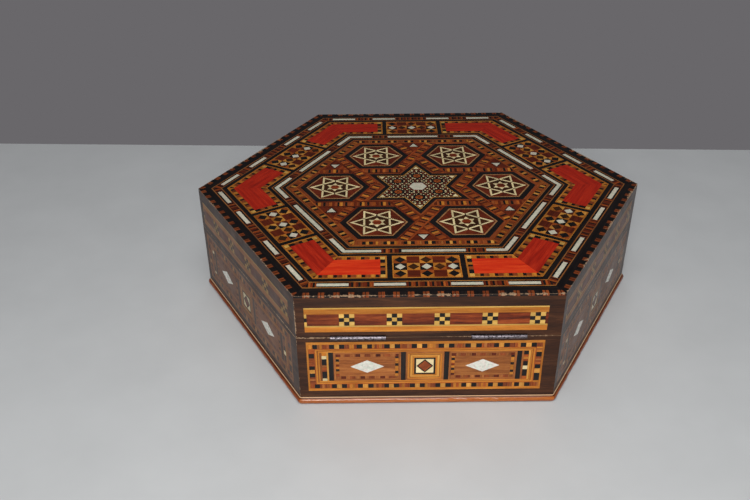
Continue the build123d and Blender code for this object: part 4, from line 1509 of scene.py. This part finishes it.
def add_screw(points, faces, face, turn, length):
    """One screw: two half faces with the slot between them, a cone and a threaded shank."""
    slot_half, slot_depth, dome = 0.2, 0.32, 1.32
    sides, arc_steps = 24, 10

    def put(x, y, z):
        points.append((face + turn @ Vector((x, y, z))) * MM)
        return len(points) - 1

    profile = screw_profile(length)
    angles = [2 * pi * i / sides for i in range(sides)]
    rings = [[put(r * cos(a), r * sin(a), -z) for a in angles] for r, z in profile]
    for upper, lower in zip(rings, rings[1:]):
        faces.extend(band(upper, lower))
    faces.append(rings[-1][::-1])
    edge = sqrt(dome ** 2 - slot_half ** 2)
    start = asin(slot_half / dome)
    floor = [put(x, y, -slot_depth) for x, y in
             ((edge, slot_half), (-edge, slot_half), (-edge, -slot_half), (edge, -slot_half))]
    faces.append(floor)
    rims = []
    for turn_by in (0, pi):
        arc = [start + (pi - 2 * start) * i / arc_steps + turn_by for i in range(arc_steps + 1)]
        rim_points = [put(dome * cos(a), dome * sin(a), -0.02) for a in arc]
        faces.append(rim_points)
        rims.append(rim_points)
    faces.append([rims[0][0], rims[0][-1], floor[1], floor[0]])
    faces.append([rims[1][0], rims[1][-1], floor[3], floor[2]])
    collar = [put(dome * cos(a), dome * sin(a), -0.04) for a in angles]
    faces.extend(band(collar, rings[0]))


for node in ("base_screws", "lid_screws"):
    screws(node)


# ---- Table, light and camera ----
def table():
    """The pale table; its far edge is where the room behind begins."""
    mesh = bpy.data.meshes.new("table")
    far, back, slant = 2.5, 0.203, 0.047
    mesh.from_pydata([(-far, -far, 0), (far, -far, 0), (far, back - slant * far, 0),
                      (-far, back + slant * far, 0)], [], [(0, 1, 2, 3)])
    g = Graph("table_top")
    grain = g.noise(g.place(), 0.02, 3, 0.6)
    g.surface(Base_Color=g.ramp(grain, colours((204, 206, 207), (210, 212, 213)), (0.3, 0.7)),
              Roughness=0.45)
    mesh.materials.append(g.material)
    added("table", mesh)


def area_light(name, place, target, size, power, shade):
    """A round lamp at a place, turned to its target."""
    light = bpy.data.lights.new(name, "AREA")
    light.shape = "DISK"
    light.size = size
    light.energy = power
    light.color = shade
    obj = added(name, light)
    obj.location = place
    obj.rotation_euler = (Vector(target) - Vector(place)).to_track_quat("-Z", "Y").to_euler()


def room():
    """The grey of the room, darker towards the ceiling."""
    world = bpy.data.worlds.new("room")
    world.use_nodes = True
    tree = world.node_tree
    direction = tree.nodes.new("ShaderNodeTexCoord")
    parts = tree.nodes.new("ShaderNodeSeparateXYZ")
    shades = tree.nodes.new("ShaderNodeValToRGB")
    tree.links.new(direction.outputs["Generated"], parts.inputs[0])
    tree.links.new(parts.outputs["Z"], shades.inputs["Fac"])
    tree.links.new(shades.outputs["Color"], tree.nodes["Background"].inputs["Color"])
    low, high = shades.color_ramp.elements
    low.position, low.color = 0.02, colour(105, 103, 106)
    high.position, high.color = 0.3, colour(66, 66, 69)
    bpy.context.scene.world = world


def camera():
    """The view down on the hinge side, from its axes and its place."""
    data = bpy.data.cameras.new("camera")
    data.lens = 39.27
    data.sensor_width = 36.0
    across = Vector((0.99994, -0.00537, -0.00950))
    down = Vector((-0.01092, -0.52425, -0.85150))
    ahead = Vector((-0.00041, 0.85154, -0.52428))
    turn = Matrix((across, -down, -ahead)).transposed()
    obj = added("camera", data)
    obj.matrix_world = Matrix.Translation((-0.0256, -0.4313, 0.2887)) @ turn.to_4x4()
    bpy.context.scene.camera = obj


table()
area_light("key", (-0.06, -0.74, 0.47), (0, -0.1, 0.03), 0.35, 4.6, (1.0, 0.985, 0.96))
area_light("ceiling", (0.0, -0.5, 1.5), (0, 0, 0.03), 1.0, 8.2, (0.97, 0.985, 1.0))
area_light("back", (0.0, 0.75, 1.7), (0, 0, 0.03), 0.6, 1.4, (0.97, 0.985, 1.0))
room()
camera()
bpy.context.scene.view_settings.view_transform = "Standard"
